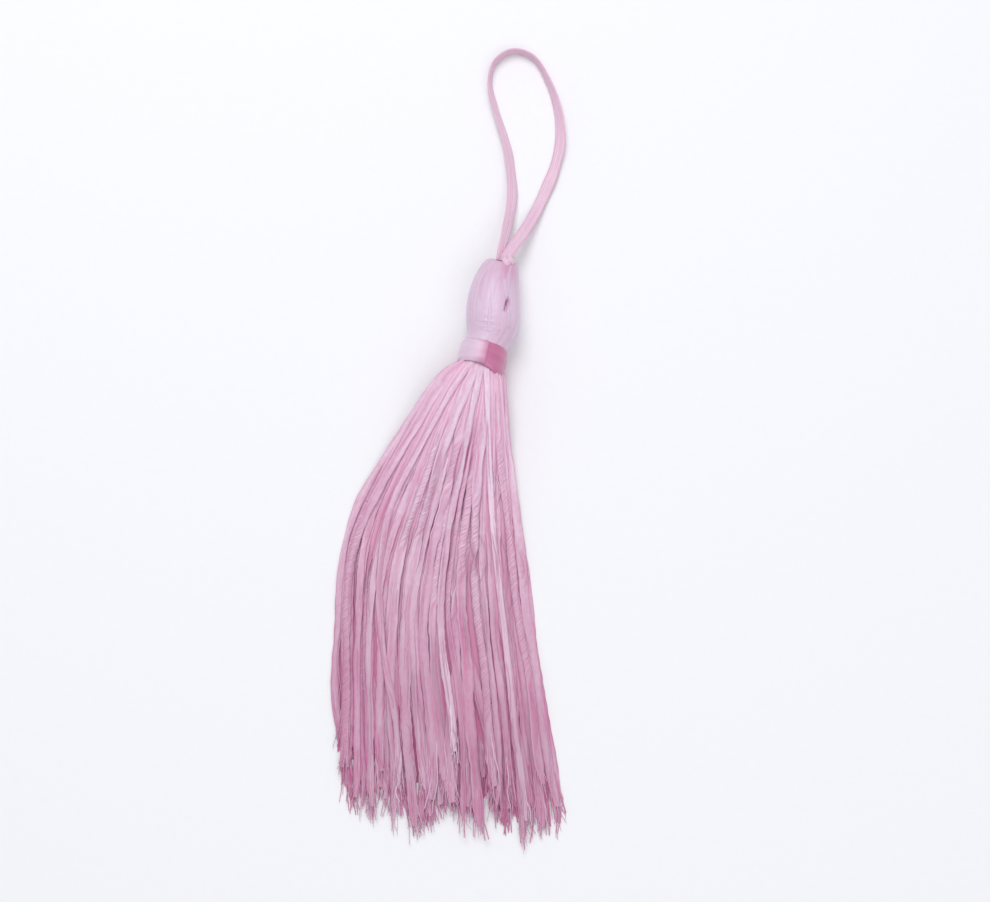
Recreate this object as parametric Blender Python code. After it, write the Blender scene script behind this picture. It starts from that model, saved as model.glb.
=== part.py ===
"""A tassel of silky yarn, lying on its back on a flat surface.

The yarns are folded over to make the egg-shaped head, wound with a ribbon at the neck, and
cut off at the far end of the skirt. A flat cord, knotted in the mouth of the head, makes the
hanging loop.

+Y runs along the head from the neck to the loop, +X is to the tassel's right seen from above
and +Z is up. The origin is the middle of the small flat spot under the head. Sizes here are in
millimetres, and mesh_object() and cord_object() turn them into metres.
"""

import bpy
import numpy as np

MM = 0.001
SHARP_EDGE = np.radians(50.0)

# The head, from its mouth at +Y to the end of the neck at -Y.
HEAD_RADIUS = 4.0
AXIS_HEIGHT = 3.6
NECK_RADIUS = 2.9
NECK_END = -8.2
HEAD_YARNS = 28
YARN_GROOVE = 0.16
NECK_GROOVE = 0.06
MOUTH_RADIUS = 1.42
MOUTH_SHIFT = -0.6

# The head's outline: distance along the axis, radius, and how far its middle lies to the right,
# because the head leans to the left over the neck.
HEAD_OUTLINE = [
    {"along": 6.8, "radius": MOUTH_RADIUS, "shift": MOUTH_SHIFT},
    {"along": 7.8, "radius": MOUTH_RADIUS, "shift": MOUTH_SHIFT},
    {"along": 8.35, "radius": 1.6, "shift": -0.7},
    {"along": 8.35, "radius": 1.85, "shift": -0.82},
    {"along": 7.8, "radius": 2.25, "shift": -0.95},
    {"along": 6.7, "radius": 2.62, "shift": -0.97},
    {"along": 5.3, "radius": 3.06, "shift": -0.85},
    {"along": 3.9, "radius": 3.44, "shift": -0.67},
    {"along": 2.4, "radius": 3.78, "shift": -0.38},
    {"along": 1.0, "radius": 3.96, "shift": -0.12},
    {"along": -0.4, "radius": HEAD_RADIUS, "shift": 0.1},
    {"along": -1.6, "radius": 3.87, "shift": 0.28},
    {"along": -2.7, "radius": 3.56, "shift": 0.38},
    {"along": -3.6, "radius": 3.2, "shift": 0.34},
    {"along": -4.3, "radius": 2.98, "shift": 0.16},
    {"along": -4.9, "radius": NECK_RADIUS, "shift": 0.0},
    {"along": NECK_END, "radius": NECK_RADIUS, "shift": 0.0},
]

# The ribbon round the neck.
BAND_TOP = -4.95
BAND_BOTTOM = NECK_END
BAND_INNER_RADIUS = 3.2
BAND_THICKNESS = 0.25
BAND_CROWN = 0.08
BAND_LAP_THICKNESS = 0.2
BAND_LAP = (78, 165)
BAND_STEPS = 36

# The knot in the mouth of the head.
KNOT_CENTRE = (MOUTH_SHIFT, 8.05, AXIS_HEIGHT)
KNOT_HALF_SIZE = (1.1, 0.95, 1.1)
KNOT_LOBE = 0.1
KNOT_LOBES = 3
KNOT_RINGS = 9
KNOT_SIDES = 16

# The skirt: rows of strands, whose roots fill a disc at the end of the neck.
ROOT_RADIUS = 2.62
ROW_PITCH = 0.49
COLUMN_PITCH = 0.55
SKIRT_LENGTH = 63.9
LENGTH_SPREAD = 2.8
MOST_SHORTER = -8.0
MOST_LONGER = 4.5
STRAND_GAP = 0.1
STRAND_SEED = 21
ROOT_DEPTH = 0.6

# Strand width and thickness, at distances from the root.
STRAND_SECTIONS = [
    {"distance": 0.0, "width": 0.42, "thickness": 0.34},
    {"distance": 5.0, "width": 0.66, "thickness": 0.36},
    {"distance": 13.0, "width": 0.92, "thickness": 0.36},
    {"distance": 72.0, "width": 0.92, "thickness": 0.36},
]

# Where each strand bends, as distances from its root. The last bend is its cut end.
BENDS = [0.0, 2.0, 4.5, 8.0, 13.0, 20.0, 28.0, 36.0, 45.0, 53.5]

# The strands keep their rows for this far, and only then droop, wander and lie on each other.
ROWS_END = 4.0

# Past that they come to lie in this many layers.
LAYERS = 5

# The skirt's outer headings and its middle's sweep, in degrees from -Y towards +X.
SKIRT_HEADINGS = [
    {"distance": 0.0, "fan": 18.0, "sweep": -1.5},
    {"distance": 12.0, "fan": 20.0, "sweep": -0.5},
    {"distance": 23.0, "fan": 18.5, "sweep": 1.5},
    {"distance": 31.0, "fan": 12.5, "sweep": 8.0},
    {"distance": 40.0, "fan": 6.5, "sweep": 16.0},
    {"distance": 50.0, "fan": 3.0, "sweep": 18.0},
    {"distance": 72.0, "fan": 2.0, "sweep": 15.0},
]

# Small turns, also in degrees, and the distances over which they start and fade.
FLARE = 22.0
FLARE_FADE = 1.8
LOOSEN_OVER = 10.0
WANDER = 0.8
WANDER_FADE = 30.0
WAVE = 2.0
WAVE_SPREAD = (0.4, 1.4)
WAVE_LENGTH = 38.0
WAVE_SHIFT = 5.0
STRAY = 8.0
STRAY_COUNT = 3
STRAY_FROM = 12.0
STRAY_OVER = 20.0
TOP_STRANDS = 24

# How the skirt comes down: it bulges past the neck in proportion to the height over the axis,
# and a strand reaches the surface at a distance that grows with the height of its root.
BULGE = 0.22
BULGE_AT = 4.5
BULGE_SPREAD = 3.0
DROOP_REACH = 7.0
DROOP_REACH_PER_HEIGHT = 2.2

# Laying the strands on each other: grid cell, step along a strand, room at each side of it,
# and how far short of clear a strand may be left.
PILE_CELL = 0.1
PILE_LOW = np.array([-30.0, -90.0])
PILE_HIGH = np.array([50.0, -8.0])
LAYING_STEP = 0.1
SIDE_ROOM = 0.06
CLEAR_WITHIN = 0.002
MOST_LIFTS = 400

# The cord of the hanging loop, 1.8 mm wide and 0.5 mm thick, its edges half round. Its route is
# a smooth curve worked out at CURVE_STEPS places in each run, then cut into even steps.
CORD_HALF_THICKNESS = 0.25
CORD_HALF_FLAT = 0.65
CORD_STEP = 1.9
CORD_CLEARANCE = 0.02
CURVE_STEPS = 40

# The loop's route: the cord's middle seen from above, the height of its underside, and its
# tilt in degrees, 0 where it lies flat and 90 where it stands on its edge.
LOOP_ROUTE = [
    {"x": -0.55, "y": 9.35, "under": 3.75, "tilt": 0},
    {"x": -0.55, "y": 10.9, "under": 3.6, "tilt": 4},
    {"x": -0.7, "y": 12.9, "under": 2.8, "tilt": 12},
    {"x": -1.0, "y": 15.8, "under": 1.4, "tilt": 24},
    {"x": -1.6, "y": 19.8, "under": 0.35, "tilt": 36},
    {"x": -2.7, "y": 23.6, "under": 0.0, "tilt": 44},
    {"x": -4.2, "y": 27.4, "under": 0.0, "tilt": 50},
    {"x": -7.3, "y": 33.0, "under": 0.0, "tilt": 60},
    {"x": -8.9, "y": 36.6, "under": 0.0, "tilt": 72},
    {"x": -8.9, "y": 40.0, "under": 0.0, "tilt": 84},
    {"x": -6.7, "y": 42.4, "under": 0.0, "tilt": 90},
    {"x": -3.4, "y": 42.0, "under": 0.0, "tilt": 86},
    {"x": -0.6, "y": 39.0, "under": 0.0, "tilt": 74},
    {"x": 1.9, "y": 34.8, "under": 0.0, "tilt": 54},
    {"x": 3.4, "y": 30.0, "under": 0.0, "tilt": 34},
    {"x": 3.5, "y": 25.4, "under": 0.0, "tilt": 20},
    {"x": 2.8, "y": 20.6, "under": 0.05, "tilt": 12},
    {"x": 1.9, "y": 16.8, "under": 0.5, "tilt": 6},
    {"x": 0.85, "y": 13.4, "under": 1.5, "tilt": 2},
    {"x": 0.0, "y": 11.0, "under": 2.5, "tilt": 0},
    {"x": -0.45, "y": 9.35, "under": 2.95, "tilt": 0},
]


def material(name, colour, roughness, sheen):
    """A satin finish of one colour."""
    made = bpy.data.materials.new(name)
    made.use_nodes = True
    shader = made.node_tree.nodes["Principled BSDF"]
    shader.inputs["Base Color"].default_value = (*colour, 1.0)
    shader.inputs["Roughness"].default_value = roughness
    shader.inputs["Metallic"].default_value = 0.0
    shader.inputs["Sheen Weight"].default_value = sheen
    made.diffuse_color = (*colour, 1.0)
    return made


def mesh_object(name, points, faces, finish):
    """An object in metres, from points in millimetres and faces that turn outwards.

    It is shaded smooth except over edges sharper than SHARP_EDGE.
    """
    mesh = bpy.data.meshes.new(name)
    mesh.from_pydata((np.asarray(points) * MM).tolist(), [], faces)
    mesh.update()
    mesh.shade_smooth()
    mesh.set_sharp_from_angle(angle=SHARP_EDGE)
    mesh.materials.append(finish)
    made = bpy.data.objects.new(name, mesh)
    bpy.context.collection.objects.link(made)
    return made


def smooth_step(value):
    """0 up to 0 and 1 from 1 on, with a level start and end between them."""
    clipped = np.clip(value, 0.0, 1.0)
    return clipped * clipped * (3.0 - 2.0 * clipped)


def column(table, name):
    return np.array([row[name] for row in table], float)


def along_table(table, name, distance):
    """A column's value at a distance, in straight runs between its rows."""
    return np.interp(distance, column(table, "distance"), column(table, name))


def tube_faces(rings, sides, closed_ring=False):
    """Quads between rings of points, and a flat cap on each end unless the rings close up."""
    faces = []
    spans = rings if closed_ring else rings - 1
    for ring in range(spans):
        here = ring * sides
        there = (ring + 1) % rings * sides
        for side in range(sides):
            after = (side + 1) % sides
            faces.append((here + side, here + after, there + after, there + side))
    if not closed_ring:
        faces.append(tuple(reversed(range(sides))))
        faces.append(tuple(range((rings - 1) * sides, rings * sides)))
    return faces


def head_object(finish):
    """The head and neck: the outline turned round its middle, with a groove between yarns.

    The underside is flattened where it would pass below the surface that it lies on.
    """
    sides = 2 * HEAD_YARNS
    angles = 2.0 * np.pi * (np.arange(sides) + 0.5) / sides
    grooves = np.arange(sides) % 2
    along = column(HEAD_OUTLINE, "along")
    radius = column(HEAD_OUTLINE, "radius")
    depth = np.interp(radius, [NECK_RADIUS, HEAD_RADIUS], [NECK_GROOVE, YARN_GROOVE])
    ring_radius = radius[:, None] - depth[:, None] * grooves
    points = np.empty((len(along), sides, 3))
    points[:, :, 0] = column(HEAD_OUTLINE, "shift")[:, None] + ring_radius * np.cos(angles)
    points[:, :, 1] = along[:, None]
    points[:, :, 2] = np.maximum(AXIS_HEIGHT + ring_radius * np.sin(angles), 0.0)
    return mesh_object("yarn", points.reshape(-1, 3), tube_faces(len(along), sides), finish)


def root_places():
    """The strands' roots, in staggered rows across the disc, lowest row first."""
    places = []
    rows = int(ROOT_RADIUS / ROW_PITCH)
    for row in range(-rows, rows + 1):
        height = row * ROW_PITCH
        half_width = np.sqrt(ROOT_RADIUS**2 - height**2)
        shift = 0.5 * (row % 2)
        columns = int(half_width / COLUMN_PITCH + 1)
        offsets = (np.arange(-columns, columns + 1) + shift) * COLUMN_PITCH
        for x in offsets[abs(offsets) < half_width]:
            places.append({"x": x, "height": AXIS_HEIGHT + height, "across": x / half_width})
    return places


def share_fan(strands):
    """Give each strand its share of the fan, from -1 at the left edge to 1 at the right.

    The strands make a few layers, lowest roots first. Each layer is spread evenly over the fan,
    in the order of its roots, so that its strands come to lie side by side.
    """
    for layer in np.array_split(np.arange(len(strands)), LAYERS):
        order = sorted(layer, key=lambda index: strands[index]["across"])
        for rank, index in enumerate(order):
            strands[index]["share"] = 2.0 * (rank + 0.5) / len(order) - 1.0


def strand_list():
    """Each strand's root, length and the small turns that set it apart, lowest root first."""
    random = np.random.default_rng(STRAND_SEED)
    strands = root_places()
    share_fan(strands)
    for strand in strands:
        extra = np.clip(random.normal(0.0, LENGTH_SPREAD), MOST_SHORTER, MOST_LONGER)
        strand["length"] = SKIRT_LENGTH + extra
        strand["wander"] = WANDER * np.clip(random.normal(), -2.0, 2.0)
        strand["wave"] = WAVE * random.uniform(*WAVE_SPREAD)
        strand["wave_start"] = WAVE_SHIFT * strand["share"] + random.normal(0.0, 0.4)
        strand["stray"] = 0.0
    for index in len(strands) - 1 - random.choice(TOP_STRANDS, STRAY_COUNT, replace=False):
        strands[index]["stray"] = STRAY * random.choice([-1.0, 1.0])
    return strands


def heading(strand, distance):
    """Degrees from -Y towards +X. The skirt flares as it leaves the neck, the fan then closes,
    the whole skirt sweeps to the right, neighbours wave together, and each strand wanders a
    little or, if it is a stray one, crosses its neighbours."""
    flare = FLARE * strand["x"] / ROOT_RADIUS * np.exp(-distance / FLARE_FADE)
    fan = along_table(SKIRT_HEADINGS, "fan", distance)
    sweep = along_table(SKIRT_HEADINGS, "sweep", distance)
    loose = smooth_step((distance - ROWS_END) / LOOSEN_OVER)
    wander = strand["wander"] * loose * np.exp(-distance / WANDER_FADE)
    turns = 2.0 * np.pi * distance / WAVE_LENGTH + strand["wave_start"]
    wave = strand["wave"] * loose * np.sin(turns)
    stray = strand["stray"] * smooth_step((distance - STRAY_FROM) / STRAY_OVER)
    return flare + strand["share"] * fan + sweep + wander + wave + stray


def plan_path(strand, distance):
    """The strand's middle seen from above: the heading followed from the root. Rows x, y, and
    the unit vector across the strand."""
    angle = np.radians(heading(strand, distance))
    step = np.diff(distance)
    middle = 0.5 * (angle[1:] + angle[:-1])
    x = strand["x"] + np.concatenate([[0.0], np.cumsum(np.sin(middle) * step)])
    y = NECK_END - np.concatenate([[0.0], np.cumsum(np.cos(middle) * step)])
    return np.array([x, y, np.cos(angle), np.sin(angle)])


def section(distance, name):
    return along_table(STRAND_SECTIONS, name, distance)


def wanted_height(strand, distance):
    """The underside of a strand with nothing under it: it bulges a little where it comes out
    of the neck, then droops to the surface."""
    root = strand["height"] - 0.5 * section(0.0, "thickness")
    reach = DROOP_REACH + DROOP_REACH_PER_HEIGHT * root
    droop = root * (1.0 - smooth_step((distance - ROWS_END + 1.0) / reach))
    around = np.exp(-(((distance - BULGE_AT) / BULGE_SPREAD) ** 2))
    bulge = BULGE * (strand["height"] - AXIS_HEIGHT) * around * smooth_step(distance / BULGE_AT)
    return droop + bulge


class Pile:
    """A grid over the surface that holds how high the strands laid so far reach."""

    def __init__(self):
        count = np.ceil((PILE_HIGH - PILE_LOW) / PILE_CELL).astype(int)
        self.top = np.full(count, -STRAND_GAP)

    def cells(self, path, half_width):
        """The grid cells under a strand, for each place along it and eleven places across."""
        across = np.linspace(-1.0, 1.0, 11)[:, None] * half_width
        x = path[0] + across * path[2]
        y = path[1] + across * path[3]
        column_index = ((x - PILE_LOW[0]) / PILE_CELL).astype(int)
        row_index = ((y - PILE_LOW[1]) / PILE_CELL).astype(int)
        return column_index, row_index


def lay_strand(strand, pile):
    """The heights of the strand's bends, so that it clears all that lies under it.

    Each bend starts at the wanted height. While the straight run between two bends passes too
    low anywhere, both are raised by the least that clears the worst place.
    """
    bends = np.array(BENDS + [strand["length"]])
    fine = np.arange(0.0, strand["length"], LAYING_STEP)
    path = plan_path(strand, fine)
    cells = pile.cells(path, 0.5 * section(fine, "width") + SIDE_ROOM)
    below = pile.top[cells].max(axis=0) + STRAND_GAP
    below[fine < ROWS_END] = 0.0
    heights = wanted_height(strand, bends)
    run = np.clip(np.searchsorted(bends, fine, side="right") - 1, 0, len(bends) - 2)
    part = (fine - bends[run]) / (bends[run + 1] - bends[run])
    for _ in range(MOST_LIFTS):
        short = below - ((1.0 - part) * heights[run] + part * heights[run + 1])
        worst = int(np.argmax(short))
        if short[worst] < CLEAR_WITHIN:
            break
        first, second = 1.0 - part[worst], part[worst]
        lift = (short[worst] + CLEAR_WITHIN) / (first**2 + second**2)
        heights[run[worst]] += lift * first
        heights[run[worst] + 1] += lift * second
    top = (1.0 - part) * heights[run] + part * heights[run + 1] + section(fine, "thickness")
    write = pile.cells(path, 0.5 * section(fine, "width"))
    np.maximum.at(pile.top, write, np.broadcast_to(top, write[0].shape))
    return bends, heights


def strand_points(strand, bends, heights):
    """Four corners at the root and at each bend. The root reaches back into the neck."""
    fine = np.append(np.arange(0.0, strand["length"], LAYING_STEP), strand["length"])
    path = np.array([np.interp(bends, fine, values) for values in plan_path(strand, fine)])
    path = np.column_stack([path[:, 0], path])
    path[1, 0] = NECK_END + ROOT_DEPTH
    half = 0.5 * section(np.concatenate([[0.0], bends]), "width")
    thick = section(np.concatenate([[0.0], bends]), "thickness")
    under = np.concatenate([[heights[0]], heights])
    points = np.empty((len(half), 4, 3))
    for corner, (side, raised) in enumerate([(-1, 0), (1, 0), (1, 1), (-1, 1)]):
        points[:, corner, 0] = path[0] + side * half * path[2]
        points[:, corner, 1] = path[1] + side * half * path[3]
        points[:, corner, 2] = under + raised * thick
    return points.reshape(-1, 3)


def skirt_object(finish):
    """All the strands, each laid on those below it, as one mesh."""
    pile = Pile()
    points = []
    faces = []
    for strand in strand_list():
        bends, heights = lay_strand(strand, pile)
        shift = sum(len(block) for block in points)
        points.append(strand_points(strand, bends, heights))
        for face in tube_faces(len(points[-1]) // 4, 4):
            faces.append(tuple(corner + shift for corner in face))
    return mesh_object("skirt_strands", np.concatenate(points), faces, finish)


def yarn_object(finish):
    """The head and neck with the strands joined on at their roots."""
    head = head_object(finish)
    skirt = skirt_object(finish)
    skirt.hide_render = True
    skirt.display_type = "WIRE"
    join = head.modifiers.new("roots", "BOOLEAN")
    join.operation = "UNION"
    join.solver = "EXACT"
    join.object = skirt
    return head


def band_object(finish):
    """The ribbon: a ring with a slightly crowned face, thicker where its end laps over."""
    angles = 2.0 * np.pi * np.arange(BAND_STEPS) / BAND_STEPS
    lapped = (np.degrees(angles) > BAND_LAP[0]) & (np.degrees(angles) < BAND_LAP[1])
    outer = BAND_INNER_RADIUS + BAND_THICKNESS + BAND_LAP_THICKNESS * lapped
    middle = 0.5 * (BAND_TOP + BAND_BOTTOM)
    corners = [
        (np.full(BAND_STEPS, BAND_INNER_RADIUS), BAND_TOP),
        (np.full(BAND_STEPS, BAND_INNER_RADIUS), BAND_BOTTOM),
        (outer, BAND_BOTTOM),
        (outer + BAND_CROWN, middle),
        (outer, BAND_TOP),
    ]
    points = np.empty((BAND_STEPS, len(corners), 3))
    for corner, (radius, along) in enumerate(corners):
        points[:, corner, 0] = radius * np.cos(angles)
        points[:, corner, 1] = along
        points[:, corner, 2] = AXIS_HEIGHT + radius * np.sin(angles)
    faces = tube_faces(BAND_STEPS, len(corners), closed_ring=True)
    return mesh_object("neck_band", points.reshape(-1, 3), faces, finish)


def knot_object(finish):
    """The knot: a small round solid with soft lobes that wind round it."""
    across = np.pi * (np.arange(KNOT_RINGS) + 0.5) / KNOT_RINGS
    around = 2.0 * np.pi * np.arange(KNOT_SIDES) / KNOT_SIDES
    across, around = np.meshgrid(across, around, indexing="ij")
    girth = np.sin(across) * (1.0 + KNOT_LOBE * (np.cos(KNOT_LOBES * around + 2.0 * across) - 1.0))
    ball = np.stack([girth * np.cos(around), np.cos(across), girth * np.sin(around)], axis=-1)
    points = ball * KNOT_HALF_SIZE + KNOT_CENTRE
    faces = tube_faces(KNOT_RINGS, KNOT_SIDES)
    return mesh_object("loop_knot", points.reshape(-1, 3), faces, finish)


def smooth_route(table, names, step):
    """The table's columns along one smooth curve through its rows, at about equal steps.

    Each run between two rows is a cubic whose end slopes are those of the neighbouring rows.
    """
    rows = np.column_stack([column(table, name) for name in names])
    padded = np.vstack([2.0 * rows[0] - rows[1], rows, 2.0 * rows[-1] - rows[-2]])
    share = np.linspace(0.0, 1.0, CURVE_STEPS, endpoint=False)[:, None]
    runs = []
    for before, start, end, after in zip(padded, padded[1:], padded[2:], padded[3:]):
        slope_in = 0.5 * (end - before)
        slope_out = 0.5 * (after - start)
        runs.append(
            (2 * share**3 - 3 * share**2 + 1) * start
            + (share**3 - 2 * share**2 + share) * slope_in
            + (3 * share**2 - 2 * share**3) * end
            + (share**3 - share**2) * slope_out
        )
    curve = np.vstack(runs + [rows[-1:]])
    length = np.concatenate([[0.0], np.cumsum(np.linalg.norm(np.diff(curve[:, :3], axis=0), axis=1))])
    even = np.linspace(0.0, length[-1], int(round(length[-1] / step)) + 1)
    return np.column_stack([np.interp(even, length, values) for values in curve.T])


def cord_object(finish):
    """The loop: one flat cord, its middle as high as its tilt needs for its underside.

    The width stands upright where a point's own tilt is 0, so the table's tilt is taken from a
    quarter turn.
    """
    route = smooth_route(LOOP_ROUTE, ["x", "y", "under", "tilt"], CORD_STEP)
    tilt = np.radians(route[:, 3])
    under = np.maximum(route[:, 2], CORD_CLEARANCE)
    route[:, 2] = under + CORD_HALF_THICKNESS + CORD_HALF_FLAT * np.sin(tilt)
    data = bpy.data.curves.new("hanging_loop", "CURVE")
    data.dimensions = "3D"
    data.twist_mode = "Z_UP"
    data.extrude = CORD_HALF_FLAT * MM
    data.bevel_depth = CORD_HALF_THICKNESS * MM
    data.bevel_resolution = 2
    data.use_fill_caps = True
    spline = data.splines.new("POLY")
    spline.points.add(len(route) - 1)
    for point, (x, y, z), turn in zip(spline.points, route[:, :3] * MM, tilt):
        point.co = (x, y, z, 1.0)
        point.tilt = 0.5 * np.pi - turn
    data.materials.append(finish)
    made = bpy.data.objects.new("hanging_loop", data)
    bpy.context.collection.objects.link(made)
    return made


def main():
    for old in list(bpy.data.objects):
        bpy.data.objects.remove(old, do_unlink=True)
    yarn_finish = material("silky yarn", (0.66, 0.40, 0.55), 0.42, 0.3)
    ribbon_finish = material("satin ribbon", (0.70, 0.44, 0.60), 0.28, 0.1)
    cord_finish = material("soft cord", (0.76, 0.50, 0.66), 0.45, 0.3)
    yarn_object(yarn_finish)
    band_object(ribbon_finish)
    knot_object(cord_finish)
    cord_object(cord_finish)


main()
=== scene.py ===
"""The tassel dressed: silky floss skirt, gathered head, satin neck ribbon, knot and hanging loop.

Shapes are worked out in millimetres, and surface() turns them into metres. +Y runs along the
head from the neck to the loop, +X is to the right seen from above and +Z is up.
"""

import bpy
import numpy as np
from mathutils import Matrix


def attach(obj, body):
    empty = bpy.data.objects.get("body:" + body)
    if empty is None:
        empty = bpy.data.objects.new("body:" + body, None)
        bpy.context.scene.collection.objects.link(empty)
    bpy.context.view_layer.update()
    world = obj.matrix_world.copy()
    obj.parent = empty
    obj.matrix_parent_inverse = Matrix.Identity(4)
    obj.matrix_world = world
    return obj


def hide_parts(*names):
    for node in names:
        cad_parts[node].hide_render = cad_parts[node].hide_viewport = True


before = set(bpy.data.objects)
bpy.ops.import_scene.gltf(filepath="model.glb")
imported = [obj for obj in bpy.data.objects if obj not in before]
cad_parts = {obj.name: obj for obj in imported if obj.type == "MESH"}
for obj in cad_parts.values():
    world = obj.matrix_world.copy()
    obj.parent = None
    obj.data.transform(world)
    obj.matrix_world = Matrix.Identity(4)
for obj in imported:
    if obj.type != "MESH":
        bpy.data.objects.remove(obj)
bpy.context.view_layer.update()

MM = 0.001

# The start of each run of random numbers.
SEEDS = {
    "cord": 5,
    "yarns": 21,
    "character": 8,
    "splay": 9,
    "inner": 14,
    "ends": 31,
    "head": 12,
    "ribbon": 3,
}

# ---------------------------------------------------------------- sizes

# How close to the floor a part may come.
FLOOR_CLEARANCE = 0.01
YARN_CLEARANCE = 0.015

# The head's outline, from inside its mouth over the rim and down to the neck: distance along
# the axis, radius, and how far its middle lies to the right. The head leans to the left by its
# mouth and a little to the right above the neck.
HEAD_RADIUS = 4.0
AXIS_HEIGHT = 3.6
NECK_END = -8.2
HEAD_STEP = 0.13
HEAD_OUTLINE = [
    {"along": 6.2, "radius": 0.9, "shift": 0.0},
    {"along": 7.4, "radius": 1.25, "shift": 0.0},
    {"along": 8.2, "radius": 1.6, "shift": -0.05},
    {"along": 8.45, "radius": 2.0, "shift": -0.25},
    {"along": 8.0, "radius": 2.45, "shift": -0.5},
    {"along": 6.9, "radius": 2.85, "shift": -0.62},
    {"along": 5.5, "radius": 3.2, "shift": -0.62},
    {"along": 4.0, "radius": 3.52, "shift": -0.52},
    {"along": 2.4, "radius": 3.8, "shift": -0.34},
    {"along": 1.0, "radius": 3.96, "shift": -0.12},
    {"along": -0.4, "radius": HEAD_RADIUS, "shift": 0.1},
    {"along": -1.6, "radius": 3.87, "shift": 0.28},
    {"along": -2.7, "radius": 3.56, "shift": 0.38},
    {"along": -3.6, "radius": 3.28, "shift": 0.34},
    {"along": -4.3, "radius": 3.15, "shift": 0.16},
    {"along": -4.9, "radius": 3.12, "shift": 0.0},
    {"along": -6.6, "radius": 3.1, "shift": 0.0},
]

# The mouth faces up a little: by how much, about which place, and how fast that fades.
MOUTH_TILT = {"slope": 0.4, "along": 8.4, "fade": 3.0}

# The head's yarns, and the core under them: how far it lies in, its least radius, its sides and
# deep tint, painted shade where it shows between the yarns, and how close to the floor it comes.
HEAD_YARNS = 27
HEAD_YARN_SIDES = 18
HEAD_YARN_HALF_THICKNESS = 0.13
HEAD_YARN_HALF_WIDTH = {"least": 0.25, "shares": (1.9, 2.6)}
HEAD_YARN_SQUARENESS = 0.95
HEAD_YARN_RIDGE = {"height": 0.16, "counts": (1.5, 3.5), "length": 16.0}
HEAD_YARN_SHADES = (0.0, 0.35)
HEAD_CORE = {"inside": 0.25, "least": 0.3, "sides": 48, "tint": 0.9, "lowest": 0.02}

# How the head's yarns differ: their places round it, how they drift, stand up and roll, each
# with the length over which that changes, the stretch where they are free, and their folds
# where they are drawn in over the neck.
HEAD_PLACES = {"shuffled": 0.2, "drift": 0.3, "length": 22.0}
HEAD_HEIGHTS = {"spread": 0.016, "rough": 0.018, "length": 11.0}
HEAD_ROLL = {"spread": 2.5, "wave": 1.5, "length": 14.0}
HEAD_FREE = {"from": 1.5, "before_end": 2.0, "over": 4.0}
NECK_FOLDS = {"before_end": 3.2, "over": 1.6, "length": 2.6}

# Uneven places on the head: a crinkled one over the neck, in degrees round the head and in
# millimetres before its end, and a deeper pink one by the mouth, painted shade in the hollow
# round the knot, with a little painted shade all round the top.
CRINKLED = {"angle": 106.0, "reach": 26.0, "before_end": 4.2, "over": 1.4, "height": 0.055}
CRINKLE_LENGTH = 0.9
SHADE_BY_MOUTH = {"angle": 60.0, "reach": 32.0, "over": 6.5, "all_round": 0.4, "fade": 8.5}

# A short gap where two yarns of the head part: its middle along the axis, the angle in degrees
# round it and how that turns along it, its half length, half width and depth, and its tint,
# painted shade in the gap.
HEAD_GAP = {
    "along": 0.95,
    "angle": 60.0,
    "turn": -2.6,
    "reach": 0.95,
    "width": 0.19,
    "depth": 1.9,
    "tint": 2.0,
}

# Yarns that lie loose over the head: where they start and end, as angles in degrees from +X
# round the head and as shares of its length from the mouth, and how far they stand up.
LOOSE_HEAD_YARNS = [
    {"start_angle": 52, "end_angle": 60, "start": 0.12, "end": 0.62, "lift": 0.1},
    {"start_angle": 70, "end_angle": 48, "start": 0.3, "end": 0.8, "lift": 0.15},
    {"start_angle": 104, "end_angle": 92, "start": 0.1, "end": 0.9, "lift": 0.05},
    {"start_angle": 128, "end_angle": 141, "start": 0.16, "end": 0.94, "lift": 0.05},
    {"start_angle": 25, "end_angle": 36, "start": 0.2, "end": 0.8, "lift": 0.07},
    {"start_angle": 152, "end_angle": 146, "start": 0.3, "end": 0.96, "lift": 0.04},
]
LOOSE_SIZE = {"half_width": 0.3, "uneven": 0.05, "length": 8.0, "half_thickness": 0.14}
LOOSE_LIE = {"tucked_in": 0.3, "rises_over": 0.12, "roll": 4.0}
LOOSE_SHADES = (0.1, 0.5)

# The ribbon round the neck. Angles are in degrees: it laps over its start between two angles
# round the neck, steps up before that, and its turn is counted from the start. Its creases and
# the waves of its edge run along the neck's girth.
BAND_TOP = -4.95
BAND_BOTTOM = -8.2
BAND_RADIUS = 3.27
BAND_GIRTH_RADIUS = 3.3
BAND_THICKNESS = 0.12
BAND_STEP = 2.0
BAND_LAP = (78.0, 165.0)
BAND_STEP_UP = {"from": 300.0, "over": 50.0, "gap": 0.05}
BAND_CROWN = 0.07
BAND_DRAWN_IN = {"lower": 0.2, "upper": 0.1}
BAND_POINTS = 25
BAND_CREASES = {"count": 3, "height": 0.012, "turns": (1.2, 3.0), "uneven": 0.6, "length": 6.0}
BAND_EDGE_WAVE = {"size": 0.04, "length": 7.0}

# Its lower edge reaches lower on the right, where it also stands off a little.
BAND_SLANT = {"depth": 1.0, "angle": 30.0, "reach": 45.0, "stands_off": 0.3}

# Its pale face is a painted satin highlight: it starts a little before the lap, and fades over
# its last stretch, where the pink is deeper again.
BAND_PAINTED_HIGHLIGHT = {"from": 340.0, "over": 20.0}
BAND_HIGHLIGHT_FADE = {"from": 412.0, "over": 32.0, "tint": 0.8}

# The knot in the mouth of the head: its place, its size, and the shape of its closed path.
KNOT_CENTRE = (0.35, 7.85, AXIS_HEIGHT + 1.6)
KNOT_HALF_SIZE = (0.95, 0.85, 0.9)
KNOT_PATH = {"reach": 0.62, "swing": 0.34, "height": 0.42, "short": 3.0, "long": 2.0}
KNOT_POINTS = 180
KNOT_SIDES = 14
KNOT_STEP = 0.08
KNOT_CORD_HALF_SIZE = (0.5, 0.3)
KNOT_SQUARENESS = 0.8

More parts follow.
